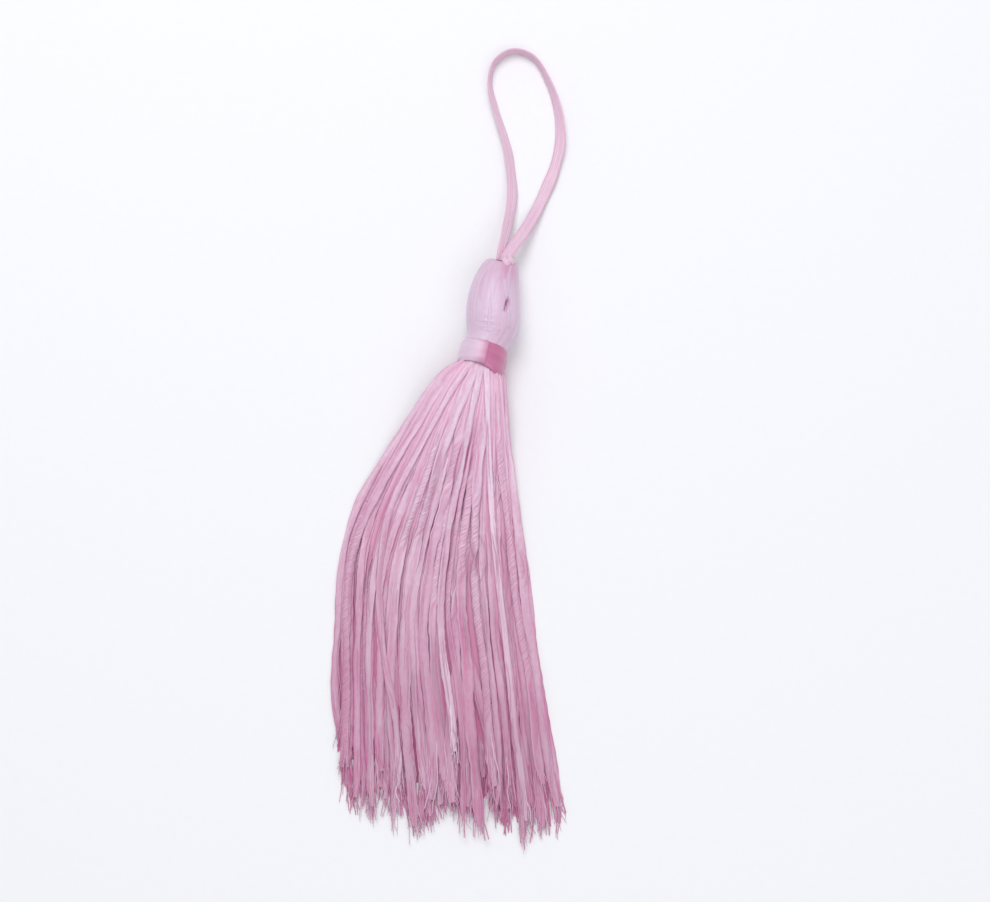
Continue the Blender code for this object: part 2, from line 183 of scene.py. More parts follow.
# The skirt: the same rows, headings and turns as the solids have. Each layer lies a share of a
# yarn's place to one side of the layer below.
ROOT_RADIUS = 2.62
ROOT_SPREAD = 1.13
ROW_PITCH = 0.49
COLUMN_PITCH = 0.55
SKIRT_LENGTH = 63.9
LENGTH_SPREAD = 2.8
MOST_SHORTER = -8.0
MOST_LONGER = 4.5
ROWS_END = 4.0
LAYERS = 5
LAYER_SHIFTS = (0.0, 0.5, -0.25, 0.25, -0.1)
SKIRT_HEADINGS = [
    {"distance": 0.0, "fan": 18.0, "sweep": -1.5},
    {"distance": 12.0, "fan": 20.0, "sweep": -0.5},
    {"distance": 23.0, "fan": 18.5, "sweep": 1.5},
    {"distance": 31.0, "fan": 12.5, "sweep": 8.0},
    {"distance": 40.0, "fan": 6.5, "sweep": 16.0},
    {"distance": 50.0, "fan": 3.0, "sweep": 18.0},
    {"distance": 72.0, "fan": 2.0, "sweep": 15.0},
]
FLARE_RIGHT = 8.0
FLARE_LEFT = 52.0
FLARE_FADE = 2.6

# The yarns on the left are drawn back towards the middle over this stretch.
DRAWN_BACK = {"degrees": 2.8, "from": 4.0, "to": 38.0, "over": 7.0}

LOOSEN_OVER = 10.0
WANDER = 0.8
WANDER_FADE = 30.0
WAVE = 2.0
WAVE_SPREAD = (0.4, 1.4)
WAVE_LENGTH = 38.0
WAVE_SHIFT = 5.0
WAVE_START_SPREAD = 0.4
STRAY = 8.0
STRAY_COUNT = 3
STRAY_FROM = 12.0
STRAY_OVER = 20.0
TOP_STRANDS = 24
BULGE = 0.22
BULGE_AT = 4.5
BULGE_SPREAD = 3.0
DROOP_REACH = 7.0
DROOP_REACH_PER_HEIGHT = 2.2

# Floss width and thickness, at distances from the root. The yarns start inside the neck.
ROOT_INSIDE = 1.6
FLOSS_SECTIONS = [
    {"distance": 0.0, "width": 1.3, "thickness": 0.4},
    {"distance": 3.0, "width": 1.3, "thickness": 0.36},
    {"distance": 8.0, "width": 1.2, "thickness": 0.28},
    {"distance": 16.0, "width": 1.25, "thickness": 0.23},
    {"distance": 72.0, "width": 1.36, "thickness": 0.2},
]
FLOSS_SIZES = (0.55, 1.2)
FLOSS_SIDES = 20
FLOSS_SQUARENESS = 0.6
FLOSS_TAPER = {"over": 3.0, "width": 0.55, "thickness": 0.5}
FLOSS_LAST_STOPS = {"before": 0.6, "step": 0.4}

# A yarn's tint is higher in the lower layers, painted shade where they show under the others,
# and differs from yarn to yarn.
FLOSS_TINT = {"shade_by_depth": 0.55, "spread": (-0.15, 0.45)}

# How far a yarn sinks into those below it, as a share of its thickness, and the points across
# it, out to a share of its spread, that rest on them. It leans by a share of the slope across
# it, and is stiff: both are averaged over reaches in steps along it.
SINK = 0.62
DRAPE_POINTS = 13
DRAPE_EDGE = 0.96
LIE_CLEARANCE = 0.02
LEAN = {"share": 0.8, "look": 1.1, "steepest": 0.9, "reach": 8.0, "over": 6.0}
STIFF = {"reach": 6.0, "rounds": 24, "last_reach": 5.0}

# The yarns become loose over this stretch, and wiggle by so many degrees over such lengths.
LOOSE_FROM = 2.0
LOOSE_OVER = 14.0
WIGGLES = [{"size": 1.1, "length": 19.0}, {"size": 0.45, "length": 7.0}]

# Some yarns lie across their neighbours for a stretch: by how many degrees, what share does,
# where that may start and how long it may be.
CROSSING = {"degrees": 3.6, "share": 0.4, "from": (8.0, 34.0), "over": (16.0, 28.0)}

# A yarn's face is tilted by so many degrees, more or less along it. A few yarns turn over.
TILT = {"spread": 7.0, "wave": 6.0, "length": 21.0}
TURNING_OVER = {"share": 0.12, "from": (14.0, 55.0), "over": (5.0, 9.0)}

# A yarn's width is uneven over a long and a short length. It is rounder, at about the same
# section, by shares of the way where it is twisted and where it turns over.
UNEVEN = {"long": 9.0, "long_size": 0.07, "short": 2.4, "short_size": 0.04}
ROUNDED = {"size": 1.06, "width": 1.12, "thickness": 0.98, "twisted": 0.3, "turning": 0.5}

# Ridges between a yarn's bundles of filaments: their height, and how many there are across it.
RIDGE_HEIGHT = 0.2
RIDGE_COUNTS = ((1.2, 2.4), (2.2, 4.0))
RIDGE_DRIFT = {"size": 0.9, "length": 24.0}

# Yarns that are still twisted for a stretch: how likely that is at the top and at the bottom,
# where it may start and how long it may be. In the patch, which is in the upper layers and
# about a share of the fan, it is likelier, and it starts nearer the neck.
TWISTED = {"likely": 0.22, "likelier_low": 0.18, "from": (2.0, 26.0), "run": (18.0, 50.0)}
TWISTED_PATCH = {
    "depth": 0.4,
    "share": -0.05,
    "reach": 0.5,
    "likely": 0.7,
    "from": (3.0, 15.0),
    "run": (10.0, 26.0),
}
TWIST_OVER = 5.0
TWIST_LEAD = (2.6, 3.2)
TWIST_DRIFT = 0.5
PLIES = 5
PLY_DENT = 0.13

# Yarns that lie on top of the others and are paler from some distance on: each is the top
# layer's yarn nearest to a share of the fan, with its own length, width and lift.
PALE_YARNS = [
    {"share": 0.11, "length": 57.0, "size": 0.85, "from": 32.0, "paler": 0.62, "raised": 0.3},
    {"share": -0.84, "length": 64.5, "size": 0.75, "from": 44.0, "paler": 0.42, "raised": 0.1},
    {"share": 0.81, "length": 66.0, "size": 0.7, "from": 8.0, "paler": 0.2, "raised": 0.0},
]
PALER_OVER = 12.0
PALE_TILT = 0.3

# The floss inside: how far it reaches, how far it lies under the tops of the strands at
# distances from the root and its tint there, deeper further on as painted shade where it shows
# between the strands, and the fine yarns that show as ridges on it. It closes over its last
# stretch, and lies lower by the fan's edges.
INNER_LENGTH = 62.0
INNER_SHORTEST = 0.95
INNER_CLOSES_OVER = 8.0
INNER_CLOSED = 0.05
INNER_EDGE_DROP = 0.5
INNER_ROOT_RADIUS = 2.7
INNER_CLEARANCE = 0.03
INNER_LEAST = 0.02
INNER_SPREAD = 0.97
INNER_STRAY = {"size": 0.012, "long": 17.0, "short": 41.0}
INNER_DEPTHS = [
    {"distance": 0.0, "depth": 0.0, "tint": 0.0},
    {"distance": 4.0, "depth": 0.02, "tint": 0.0},
    {"distance": 9.0, "depth": 0.06, "tint": 0.15},
    {"distance": 20.0, "depth": 0.04, "tint": 0.4},
    {"distance": 30.0, "depth": 0.02, "tint": 0.6},
    {"distance": 48.0, "depth": 0.02, "tint": 0.63},
    {"distance": 56.0, "depth": 0.3, "tint": 0.8},
    {"distance": 62.0, "depth": 0.5, "tint": 0.9},
]
INNER_FADE = 38.0
INNER_YARNS = 26
INNER_RIDGE = 0.07
INNER_POINTS = 183
INNER_TOP_REACH = 7
INNER_SMOOTH_ACROSS = 5.0
INNER_SMOOTH_ALONG = 6.0
INNER_KEEP = 4

# The cut ends: by how many degrees and over what stretch a yarn turns aside, by how much the
# lowest are deeper pink, painted shade between the ends, and how far before its length a yarn
# stops.
END_SPLAY = 6.0
END_SPLAY_OVER = 12.0
END_SHADE = 0.4
END_FRAY = 1.4

# The frayed bundles that part from a yarn over its last stretch: how many, their points and
# sides, where they start, how far they miss or pass the yarn's length, how far they stand
# apart, bow and droop, and their size and shade against the yarn's.
TUFTS = 12
TUFT_POINTS = 8
TUFT_SIDES = 5
TUFT_RUN = {"longest": 7.5, "shares": (0.5, 1.1), "past": (-2.6, 1.1)}
TUFT_FAN = {"shuffled": 0.12, "within": 0.85, "wider": 0.35, "stray": 0.3}
TUFT_CURL = {"size": 0.2, "turns": 9.0, "start": 6.0}
TUFT_BOW = 0.2
TUFT_DROOP = 0.05
TUFT_HALF_SIZE = {"shares": (1.0, 2.6), "thinner": 0.45, "flatness": 0.6}
TUFT_SHADES = (-0.95, 0.65)

# Loose bundles of filaments on the skirt: how many, their points and sides, their length,
# where they may start and end, how much likelier the upper yarns have them, as a power under
# 1, how far they lie aside and stand up, their size and shade.
FILAMENTS = 260
FILAMENT_POINTS = 13
FILAMENT_SIDES = 3
FILAMENT_RUN = (5.0, 15.0)
FILAMENT_FROM = 3.0
FILAMENT_BEFORE_END = 4.0
FILAMENT_HIGHER = 0.6
FILAMENT_ASIDE = {"start": 0.8, "bow": 0.4, "most": 3.0, "freedom": 3.0}
FILAMENT_BOW = (0.06, 0.22)
FILAMENT_SUNK = 0.05
FILAMENT_HALF_SIZES = (0.04, 0.09)
FILAMENT_TAPER = 0.4
FILAMENT_SHADES = (0.0, 0.3)

# Steps along a flat and a twisted yarn and in laying them, and the grid that they are laid on.
FLOSS_STEP = 0.55
TWIST_STEP = 0.34
DRAPE_STEP = 0.2
PILE_CELL = 0.1
PILE_LOW = np.array([-30.0, -90.0])
PILE_HIGH = np.array([50.0, -6.0])

# Edges that turn by more than this are sharp.
SHARP_FROM = np.radians(65.0)

# The loop's cord, uneven by small shares over short lengths, its face with a fold and ribs.
CORD_WIDTH = 1.8
CORD_THICKNESS = 0.5
CORD_CLEARANCE = 0.02
CORD_STEP = 0.3
CORD_SIDE_POINTS = 25
CORD_FLATNESS = 0.42
CORD_UNEVEN = {"width": 0.03, "width_length": 6.0, "thickness": 0.05, "thickness_length": 5.0}
CORD_RIB = {"height": 0.1, "count": 5.0}
CORD_FOLD = {"depth": 0.25, "width": 0.09}
CORD_TINT = 0.2
CURVE_STEPS = 40

# The loop's route: the cord's middle seen from above, the height of its underside, and how far
# its width is tilted, in degrees.
LOOP_ROUTE = [
    {"x": -0.7, "y": 8.2, "under": 3.4, "tilt": 40},
    {"x": -0.85, "y": 9.35, "under": 3.3, "tilt": 48},
    {"x": -0.95, "y": 10.9, "under": 3.0, "tilt": 50},
    {"x": -1.05, "y": 12.9, "under": 2.3, "tilt": 46},
    {"x": -1.2, "y": 15.8, "under": 1.2, "tilt": 42},
    {"x": -1.6, "y": 19.8, "under": 0.35, "tilt": 36},
    {"x": -2.7, "y": 23.6, "under": 0.0, "tilt": 44},
    {"x": -4.2, "y": 27.4, "under": 0.0, "tilt": 50},
    {"x": -7.3, "y": 33.0, "under": 0.0, "tilt": 60},
    {"x": -8.9, "y": 36.6, "under": 0.0, "tilt": 72},
    {"x": -8.9, "y": 40.0, "under": 0.0, "tilt": 84},
    {"x": -6.7, "y": 42.4, "under": 0.0, "tilt": 90},
    {"x": -3.4, "y": 42.0, "under": 0.0, "tilt": 86},
    {"x": -0.6, "y": 39.0, "under": 0.0, "tilt": 74},
    {"x": 1.9, "y": 34.8, "under": 0.0, "tilt": 54},
    {"x": 3.4, "y": 30.0, "under": 0.0, "tilt": 34},
    {"x": 3.5, "y": 25.4, "under": 0.0, "tilt": 20},
    {"x": 2.8, "y": 20.6, "under": 0.05, "tilt": 12},
    {"x": 2.05, "y": 16.8, "under": 0.7, "tilt": 8},
    {"x": 1.2, "y": 13.4, "under": 2.1, "tilt": 8},
    {"x": 0.5, "y": 11.0, "under": 3.3, "tilt": 6},
    {"x": 0.1, "y": 9.35, "under": 3.9, "tilt": 4},
    {"x": -0.15, "y": 8.2, "under": 3.9, "tilt": 0},
]

# ---------------------------------------------------------------- helpers


def smooth_step(value):
    """0 up to 0 and 1 from 1 on, with a level start and end between them."""
    clipped = np.clip(value, 0.0, 1.0)
    return clipped * clipped * (3.0 - 2.0 * clipped)


def column(table, name):
    """One column of a table as an array."""
    return np.array([row[name] for row in table], float)


def along_table(table, name, distance):
    """A column's value at a distance, in straight runs between its rows."""
    return np.interp(distance, column(table, "distance"), column(table, name))


def unit(vectors):
    """Vectors divided by their lengths."""
    return vectors / np.linalg.norm(vectors, axis=-1, keepdims=True)


def blur(values, reach):
    """Values along a strand averaged over their neighbours with a bell of this reach, in steps."""
    count = int(np.ceil(3.0 * reach))
    bell = np.exp(-0.5 * (np.arange(-count, count + 1) / reach) ** 2)
    padded = np.pad(values, count, mode="edge")
    return np.convolve(padded, bell / bell.sum(), mode="valid")


def soft_noise(random, distance, length, count=4):
    """A smooth random line: a few sines of lengths around the given one, and of random starts."""
    lengths = length * random.uniform(0.6, 1.7, count)
    starts = random.uniform(0.0, 2.0 * np.pi, count)
    waves = np.sin(2.0 * np.pi * distance[:, None] / lengths + starts)
    return waves.sum(axis=1) / np.sqrt(0.5 * count)


def smooth_curve(rows, step):
    """Points at about equal steps along one smooth curve through the rows, each a cubic run
    whose end slopes are those of the neighbouring rows. The first three columns are its place."""
    padded = np.vstack([2.0 * rows[0] - rows[1], rows, 2.0 * rows[-1] - rows[-2]])
    share = np.linspace(0.0, 1.0, CURVE_STEPS, endpoint=False)[:, None]
    runs = []
    for before, start, end, after in zip(padded, padded[1:], padded[2:], padded[3:]):
        slope_in = 0.5 * (end - before)
        slope_out = 0.5 * (after - start)
        runs.append(
            (2 * share**3 - 3 * share**2 + 1) * start
            + (share**3 - 2 * share**2 + share) * slope_in
            + (3 * share**2 - 2 * share**3) * end
            + (share**3 - share**2) * slope_out
        )
    curve = np.vstack(runs + [rows[-1:]])
    steps = np.linalg.norm(np.diff(curve[:, :3], axis=0), axis=1)
    length = np.concatenate([[0.0], np.cumsum(steps)])
    even = np.linspace(0.0, length[-1], int(round(length[-1] / step)) + 1)
    return np.column_stack([np.interp(even, length, values) for values in curve.T])


def tangents(path):
    """The direction along a path at each of its points."""
    return unit(np.gradient(path, axis=0))


def sweep(path, side, up, across, raised):
    """Rings of points carried along a path: each ring's points lie at `across` along `side` and
    at `raised` along `up` from the path's point."""
    return (
        path[:, None, :]
        + across[:, :, None] * side[:, None, :]
        + raised[:, :, None] * up[:, None, :]
    )


def held_up(rings, clearance=FLOOR_CLEARANCE):
    """Rings with every point that would lie lower than the clearance raised to it."""
    rings[:, :, 2] = np.maximum(rings[:, :, 2], clearance)
    return rings


def circle(sides):
    """The angles of a ring's points, evenly round a full turn."""
    return 2.0 * np.pi * np.arange(sides) / sides


def flat_oval(half_width, half_thickness, angles, squareness):
    """A flattened oval: the cosine and sine of the angle, each to a power of at most 1, times
    the half width and the half thickness."""
    cosine, sine = np.cos(angles), np.sin(angles)
    across = half_width[:, None] * np.sign(cosine) * np.abs(cosine) ** squareness
    raised = half_thickness[:, None] * np.sign(sine) * np.abs(sine) ** squareness
    return across, raised


def surface(name, tubes, finish, closed=False):
    """One smooth mesh of closed tubes. Each tube is a dict with `rings`, an array of rings x
    sides x 3 points that turn counterclockwise seen from the tube's end, `along`, each ring's
    distance in millimetres, and `tint`, how deep its pink is: one number, a column of one for
    each ring, or one for each point. Quads join the rings, and a face closes each end unless
    the rings close up. UV is the share of the way round, times `wraps` if the tube has them,
    and the distance along in millimetres."""
    points, corners, starts, uvs, tints = [], [], [], [], []
    shift = 0
    loops = 0
    for tube in tubes:
        rings, sides = tube["rings"].shape[:2]
        index = np.arange(rings * sides).reshape(rings, sides) + shift
        after = np.roll(index, -1, axis=1)
        if closed:
            index, after = np.vstack([index, index[:1]]), np.vstack([after, after[:1]])
        quads = np.stack([index[:-1], after[:-1], after[1:], index[1:]], axis=-1)
        spans = len(index) - 1
        step = tube.get("wraps", 1) / sides
        around = np.broadcast_to(np.arange(sides) * step, (spans, sides))
        low = np.broadcast_to(tube["along"][:spans, None], (spans, sides))
        high_values = np.append(tube["along"][1:], 2 * tube["along"][-1] - tube["along"][-2])
        high = np.broadcast_to(high_values[:spans, None], (spans, sides))
        quad_uv = np.stack(
            [
                np.stack([around, low], axis=-1),
                np.stack([around + step, low], axis=-1),
                np.stack([around + step, high], axis=-1),
                np.stack([around, high], axis=-1),
            ],
            axis=2,
        )
        corners.append(quads.reshape(-1))
        uvs.append(quad_uv.reshape(-1, 2))
        starts.append(loops + 4 * np.arange(spans * sides))
        loops += 4 * spans * sides
        if not closed:
            for ring, along in ((index[0][::-1], tube["along"][0]), (index[-1], tube["along"][-1])):
                corners.append(ring)
                uvs.append(np.column_stack([np.arange(sides) * step, np.full(sides, along)]))
                starts.append(np.array([loops]))
                loops += sides
        points.append(tube["rings"].reshape(-1, 3))
        tints.append(np.broadcast_to(tube["tint"], (rings, sides)).ravel())
        shift += rings * sides
    mesh = bpy.data.meshes.new(name)
    places = np.concatenate(points) * MM
    mesh.vertices.add(len(places))
    mesh.vertices.foreach_set("co", places.astype(np.float32).ravel())
    corner_index = np.concatenate(corners)
    mesh.loops.add(len(corner_index))
    mesh.loops.foreach_set("vertex_index", corner_index.astype(np.int32))
    start_index = np.concatenate(starts)
    mesh.polygons.add(len(start_index))
    mesh.polygons.foreach_set("loop_start", start_index.astype(np.int32))
    mesh.update(calc_edges=True)
    layer = mesh.uv_layers.new(name="UVMap")
    layer.data.foreach_set("uv", np.concatenate(uvs).astype(np.float32).ravel())
    tint = mesh.attributes.new("tint", "FLOAT", "POINT")
    tint.data.foreach_set("value", np.concatenate(tints).astype(np.float32))
    mesh.shade_smooth()
    mesh.set_sharp_from_angle(angle=SHARP_FROM)
    mesh.validate()
    mesh.materials.append(finish)
    made = bpy.data.objects.new(name, mesh)
    bpy.context.scene.collection.objects.link(made)
    return made


# ---------------------------------------------------------------- finishes

# The yarns' light colours pass to darker ones over these distances from the root: painted
# shade, as the light falls off towards the cut end.
PAINTED_FALLOFF_RUN = (14.0, 49.0)

# Each kind of floss: its colours, its roughness, where the pink is deeper round a yarn, painted
# shade at the thin edges of a flat yarn or cord and between the plies of a twisted one, as its
# turns, start, sharpness and depth, how close its streaks lie across it, and how strong they are.
FLOSSES = {
    "cord": {
        "name": "satin cord",
        "light": (0.83, 0.56, 0.69),
        "cool": (0.79, 0.585, 0.705),
        "deep": (0.62, 0.30, 0.45),
        "roughness": 0.42,
        "shade_round_yarn": (1.0, 0.0, 6.0, 0.25),
        "streaks": 16.0,
        "contrast": 1.2,
    },
    "yarn": {
        "name": "silky floss",
        "light": (0.87, 0.63, 0.76),
        "cool": (0.82, 0.67, 0.78),
        "deep": (0.56, 0.10, 0.28),
        "painted_falloff": (0.59, 0.38, 0.49),
        "roughness": 0.42,
        "shade_round_yarn": (1.0, 0.0, 3.0, 0.7),
        "contrast": 1.45,
    },
    "inner": {
        "name": "inner floss",
        "light": (0.91, 0.61, 0.77),
        "cool": (0.87, 0.62, 0.78),
        "deep": (0.56, 0.12, 0.28),
        "painted_falloff": (0.58, 0.22, 0.37),
        "roughness": 0.5,
        "shade_round_yarn": (1.0, 0.0, 4.0, 0.35),
    },
    "twisted": {
        "name": "twisted floss",
        "light": (0.87, 0.63, 0.76),
        "cool": (0.82, 0.66, 0.78),
        "deep": (0.56, 0.12, 0.29),
        "painted_falloff": (0.57, 0.37, 0.475),
        "roughness": 0.45,
        "shade_round_yarn": (0.5 * PLIES, 0.5 * np.pi, 3.0, 0.32),
        "contrast": 1.3,
    },
    # The head's copy of the floss is recoloured for how the light falls on the head: a paler,
    # greyer deep pink, painted sheen, and a darker light colour than the skirt's.
    "head": {
        "name": "head floss with painted sheen",
        "light": (0.74, 0.55, 0.69),
        "cool": (0.71, 0.59, 0.72),
        "deep": (0.62, 0.27, 0.44),
        "roughness": 0.42,
        "shade_round_yarn": (1.0, 0.0, 4.0, 0.2),
        "contrast": 0.6,
    },
}

# The floss's grain: how much closer than its streaks it lies across a yarn, how close along it,
# its detail and roughness, and its weight in the colour. The cloud is in the object's metres.
GRAINS = {
    "streak": {"across": 1.0, "along": 0.11, "detail": 2.0, "roughness": 0.5, "weight": 0.95},
    "fibre": {"across": 4.0, "along": 0.5, "detail": 3.0, "roughness": 0.6, "weight": 0.45},
    "crimp": {"across": 1.5, "along": 1.1, "detail": 3.0, "roughness": 0.6, "weight": 0.5},
}
CLOUD = {"scale": 160.0, "detail": 3.0, "weight": 0.3}
TINT_WEIGHT = 0.62
DEEP_RUN = (-0.1, 1.2)
COOL_RUN = (0.0, 1.5)
COOL_SHUFFLE = 57.0
FIBRE_ROUGHNESS = 0.2
FLOSS_SHEEN = {
    "Sheen Weight": 0.22,
    "Sheen Roughness": 0.5,
    "Sheen Tint": (0.96, 0.92, 1.0, 1.0),
    "Specular IOR Level": 0.5,
}
FLOSS_BUMP = {"strength": 0.7, "distance": 0.00005}

# The ribbon: its pale pink, a painted satin highlight, and its deep pink, its threads, those across
# them and the painted shade of its soft folds, as noise stretched over its UV map, and its gloss.
RIBBON_PAINTED_HIGHLIGHT = (0.74, 0.58, 0.72)
RIBBON_DEEP = (0.52, 0.11, 0.26)
RIBBON_THREADS = (170.0, 0.8, 1.0)
RIBBON_CROSS_THREADS = (6.0, 9.0, 1.0)
RIBBON_FOLD_SHADE = (9.0, 0.25, 1.0)
RIBBON_WEIGHTS = {"tint": 0.8, "threads": 0.2, "fold_shade": 0.2, "cross": 0.6}
RIBBON_RUN = (0.1, 1.1)
RIBBON_GLOSS = {
    "Roughness": 0.34,
    "Specular IOR Level": 0.8,
    "Sheen Weight": 0.25,
    "Sheen Roughness": 0.4,
}
RIBBON_BUMP = {"strength": 0.4, "distance": 0.00003}

# The floor: two pale greys, the grain between them, and its dull face.
FLOOR_COLOURS = ((0.90, 0.90, 0.91), (0.88, 0.88, 0.89))
FLOOR_GRAIN = 900.0
FLOOR_FACE = {"Roughness": 0.85, "Specular IOR Level": 0.2}


def graph(name):
    """A new material's nodes, its links and its shader."""
    made = bpy.data.materials.new(name)
    made.use_nodes = True
    tree = made.node_tree
    return made, tree, tree.nodes["Principled BSDF"]


def set_values(shader, values):
    """Uniform values on the shader's own sockets."""
    for name, value in values.items():
        shader.inputs[name].default_value = value


def own_places(tree):
    """The piece's own UV map and its tint."""
    uv = tree.nodes.new("ShaderNodeUVMap")
    uv.uv_map = "UVMap"
    tint = tree.nodes.new("ShaderNodeAttribute")
    tint.attribute_name = "tint"
    return uv.outputs["UV"], tint.outputs["Fac"]


def math_node(tree, operation, first, second=0.0):
    """One sum on two sockets or numbers. Where it takes one value, the second does nothing."""
    node = tree.nodes.new("ShaderNodeMath")
    node.operation = operation
    for socket, value in zip(node.inputs, (first, second)):
        if isinstance(value, (int, float)):
            socket.default_value = value
        else:
            tree.links.new(value, socket)
    return node.outputs[0]


def add_weighted(tree, total, value, weight):
    """A total with a value times its weight added."""
    return math_node(tree, "ADD", total, math_node(tree, "MULTIPLY", value, weight))


def mapped(tree, source, scale):
    """A place stretched by a scale in each direction."""
    node = tree.nodes.new("ShaderNodeMapping")
    node.inputs["Scale"].default_value = scale
    tree.links.new(source, node.inputs["Vector"])
    return node.outputs["Vector"]


def noise(tree, place, scale, detail=2.0, roughness=0.5):
    """Soft noise at a place, about 0.5."""
    node = tree.nodes.new("ShaderNodeTexNoise")
    node.inputs["Scale"].default_value = scale
    node.inputs["Detail"].default_value = detail
    node.inputs["Roughness"].default_value = roughness
    tree.links.new(place, node.inputs["Vector"])
    return node.outputs["Fac"]


def colour_mix(tree, share, first, second):
    """A mix of two colours by a share."""
    node = tree.nodes.new("ShaderNodeMix")
    node.data_type = "RGBA"
    tree.links.new(share, node.inputs["Factor"])
    for socket, value in ((node.inputs["A"], first), (node.inputs["B"], second)):
        if isinstance(value, tuple):
            socket.default_value = (*value, 1.0)
        else:
            tree.links.new(value, socket)
    return node.outputs["Result"]


def spread(tree, value, low, high):
    """A value stretched so that low becomes 0 and high becomes 1, and held between them."""
    node = tree.nodes.new("ShaderNodeMapRange")
    node.inputs["From Min"].default_value = low
    node.inputs["From Max"].default_value = high
    tree.links.new(value, node.inputs["Value"])
    return node.outputs["Result"]


def bump(tree, shader, height, strength, distance):
    """A height as a bump on the shader, at most the distance deep, in metres."""
    node = tree.nodes.new("ShaderNodeBump")
    node.inputs["Strength"].default_value = strength
    node.inputs["Distance"].default_value = distance
    tree.links.new(height, node.inputs["Height"])
    tree.links.new(node.outputs["Normal"], shader.inputs["Normal"])


def floss_finish(name, light, cool, deep, roughness, shade_round_yarn, streaks=6.5, contrast=1.0, painted_falloff=None):
    """Silky floss: fine filaments along the yarn as colour streaks and bump, short crimps, a
    colour that differs from yarn to yarn and along each, and a soft sheen. Some yarns are nearer
    the cool colour than the light one, and the middle of every yarn is nearer it as a painted
    highlight. The colour is deeper where the cosine of the turn round the yarn, times the shade's
    turns and less its start, is near 1 or -1: painted shade at the thin edges of a flat yarn, and
    between the plies of a twisted one. Towards the cut end both the light and the cool colour pass
    to the falloff colour, painted shade as the light falls off, but less where the tint is under 0."""
    made, tree, shader = graph(name)
    uv, tint = own_places(tree)
    parts = tree.nodes.new("ShaderNodeSeparateXYZ")
    tree.links.new(uv, parts.inputs["Vector"])
    turns, start, sharpness, depth = shade_round_yarn
    # Painted shade at the thin edges of a flat yarn and between the plies of a twisted one.
    angle = math_node(tree, "MULTIPLY", parts.outputs["X"], 2.0 * np.pi * turns)
    angle = math_node(tree, "SUBTRACT", angle, start)
    edge = math_node(tree, "ABSOLUTE", math_node(tree, "COSINE", angle))
    edge = math_node(tree, "POWER", edge, sharpness)
    grain = {}
    for kind, row in GRAINS.items():
        stretched = mapped(tree, uv, (row["across"] * streaks, row["along"], 1.0))
        grain[kind] = noise(tree, stretched, 1.0, row["detail"], row["roughness"])
    place = tree.nodes.new("ShaderNodeTexCoord").outputs["Object"]
    cloud = noise(tree, place, CLOUD["scale"], CLOUD["detail"])
    share = math_node(tree, "MULTIPLY", tint, TINT_WEIGHT)
    weights = [(grain[kind], row["weight"]) for kind, row in GRAINS.items()]
    for value, weight in [*weights, (cloud, CLOUD["weight"])]:
        centred = math_node(tree, "SUBTRACT", value, 0.5)
        share = add_weighted(tree, share, centred, contrast * weight)
    share = add_weighted(tree, share, edge, depth)
    # The cool colour falls at random from yarn to yarn, and as a painted highlight on the middle of
    # every yarn, away from its edges.
    shuffled = math_node(tree, "FRACT", math_node(tree, "MULTIPLY", tint, COOL_SHUFFLE))
    cool_tone_and_highlight = math_node(tree, "SUBTRACT", math_node(tree, "ADD", shuffled, cloud), edge)
    pale = colour_mix(tree, spread(tree, cool_tone_and_highlight, *COOL_RUN), light, cool)
    # Painted shade: the colour passes to the falloff colour towards the cut end.
    if painted_falloff:
        falloff_share = spread(tree, parts.outputs["Y"], *PAINTED_FALLOFF_RUN)
        less = math_node(tree, "MINIMUM", tint, 0.0)
        pale = colour_mix(tree, math_node(tree, "ADD", falloff_share, less), pale, painted_falloff)
    colour = colour_mix(tree, spread(tree, share, *DEEP_RUN), pale, deep)
    tree.links.new(colour, shader.inputs["Base Color"])
    rough = math_node(tree, "MULTIPLY", grain["fibre"], FIBRE_ROUGHNESS)
    rough = math_node(tree, "ADD", rough, roughness - 0.5 * FIBRE_ROUGHNESS)
    tree.links.new(rough, shader.inputs["Roughness"])
    set_values(shader, FLOSS_SHEEN)
    bump(tree, shader, math_node(tree, "ADD", grain["fibre"], grain["crimp"]), **FLOSS_BUMP)
    return made


def ribbon_finish():
    """Satin ribbon: close threads along its length, finer ones across it, painted shade of soft
    folds, and a strong gloss. Its tint is 0 on the pale face that laps over, a painted satin
    highlight, and
    1 on the deep pink turn below."""
    made, tree, shader = graph("satin ribbon")
    uv, tint = own_places(tree)
    threads, cross, fold_shade = [
        noise(tree, mapped(tree, uv, scale), 1.0)
        for scale in (RIBBON_THREADS, RIBBON_CROSS_THREADS, RIBBON_FOLD_SHADE)
    ]
    share = math_node(tree, "MULTIPLY", tint, RIBBON_WEIGHTS["tint"])
    share = add_weighted(tree, share, threads, RIBBON_WEIGHTS["threads"])
    # Painted shade of soft folds along the ribbon.
    share = add_weighted(tree, share, fold_shade, RIBBON_WEIGHTS["fold_shade"])
    colour = colour_mix(tree, spread(tree, share, *RIBBON_RUN), RIBBON_PAINTED_HIGHLIGHT, RIBBON_DEEP)
    tree.links.new(colour, shader.inputs["Base Color"])
    set_values(shader, RIBBON_GLOSS)
    height = add_weighted(tree, threads, cross, RIBBON_WEIGHTS["cross"])
    bump(tree, shader, height, **RIBBON_BUMP)
    return made


def floor_finish():
    """A plain pale sheet with a very faint grain."""
    made, tree, shader = graph("pale floor")
    place = tree.nodes.new("ShaderNodeTexCoord").outputs["Object"]
    colour = colour_mix(tree, noise(tree, place, FLOOR_GRAIN), *FLOOR_COLOURS)
    tree.links.new(colour, shader.inputs["Base Color"])
    set_values(shader, FLOOR_FACE)
    return made


# ---------------------------------------------------------------- camera and loop

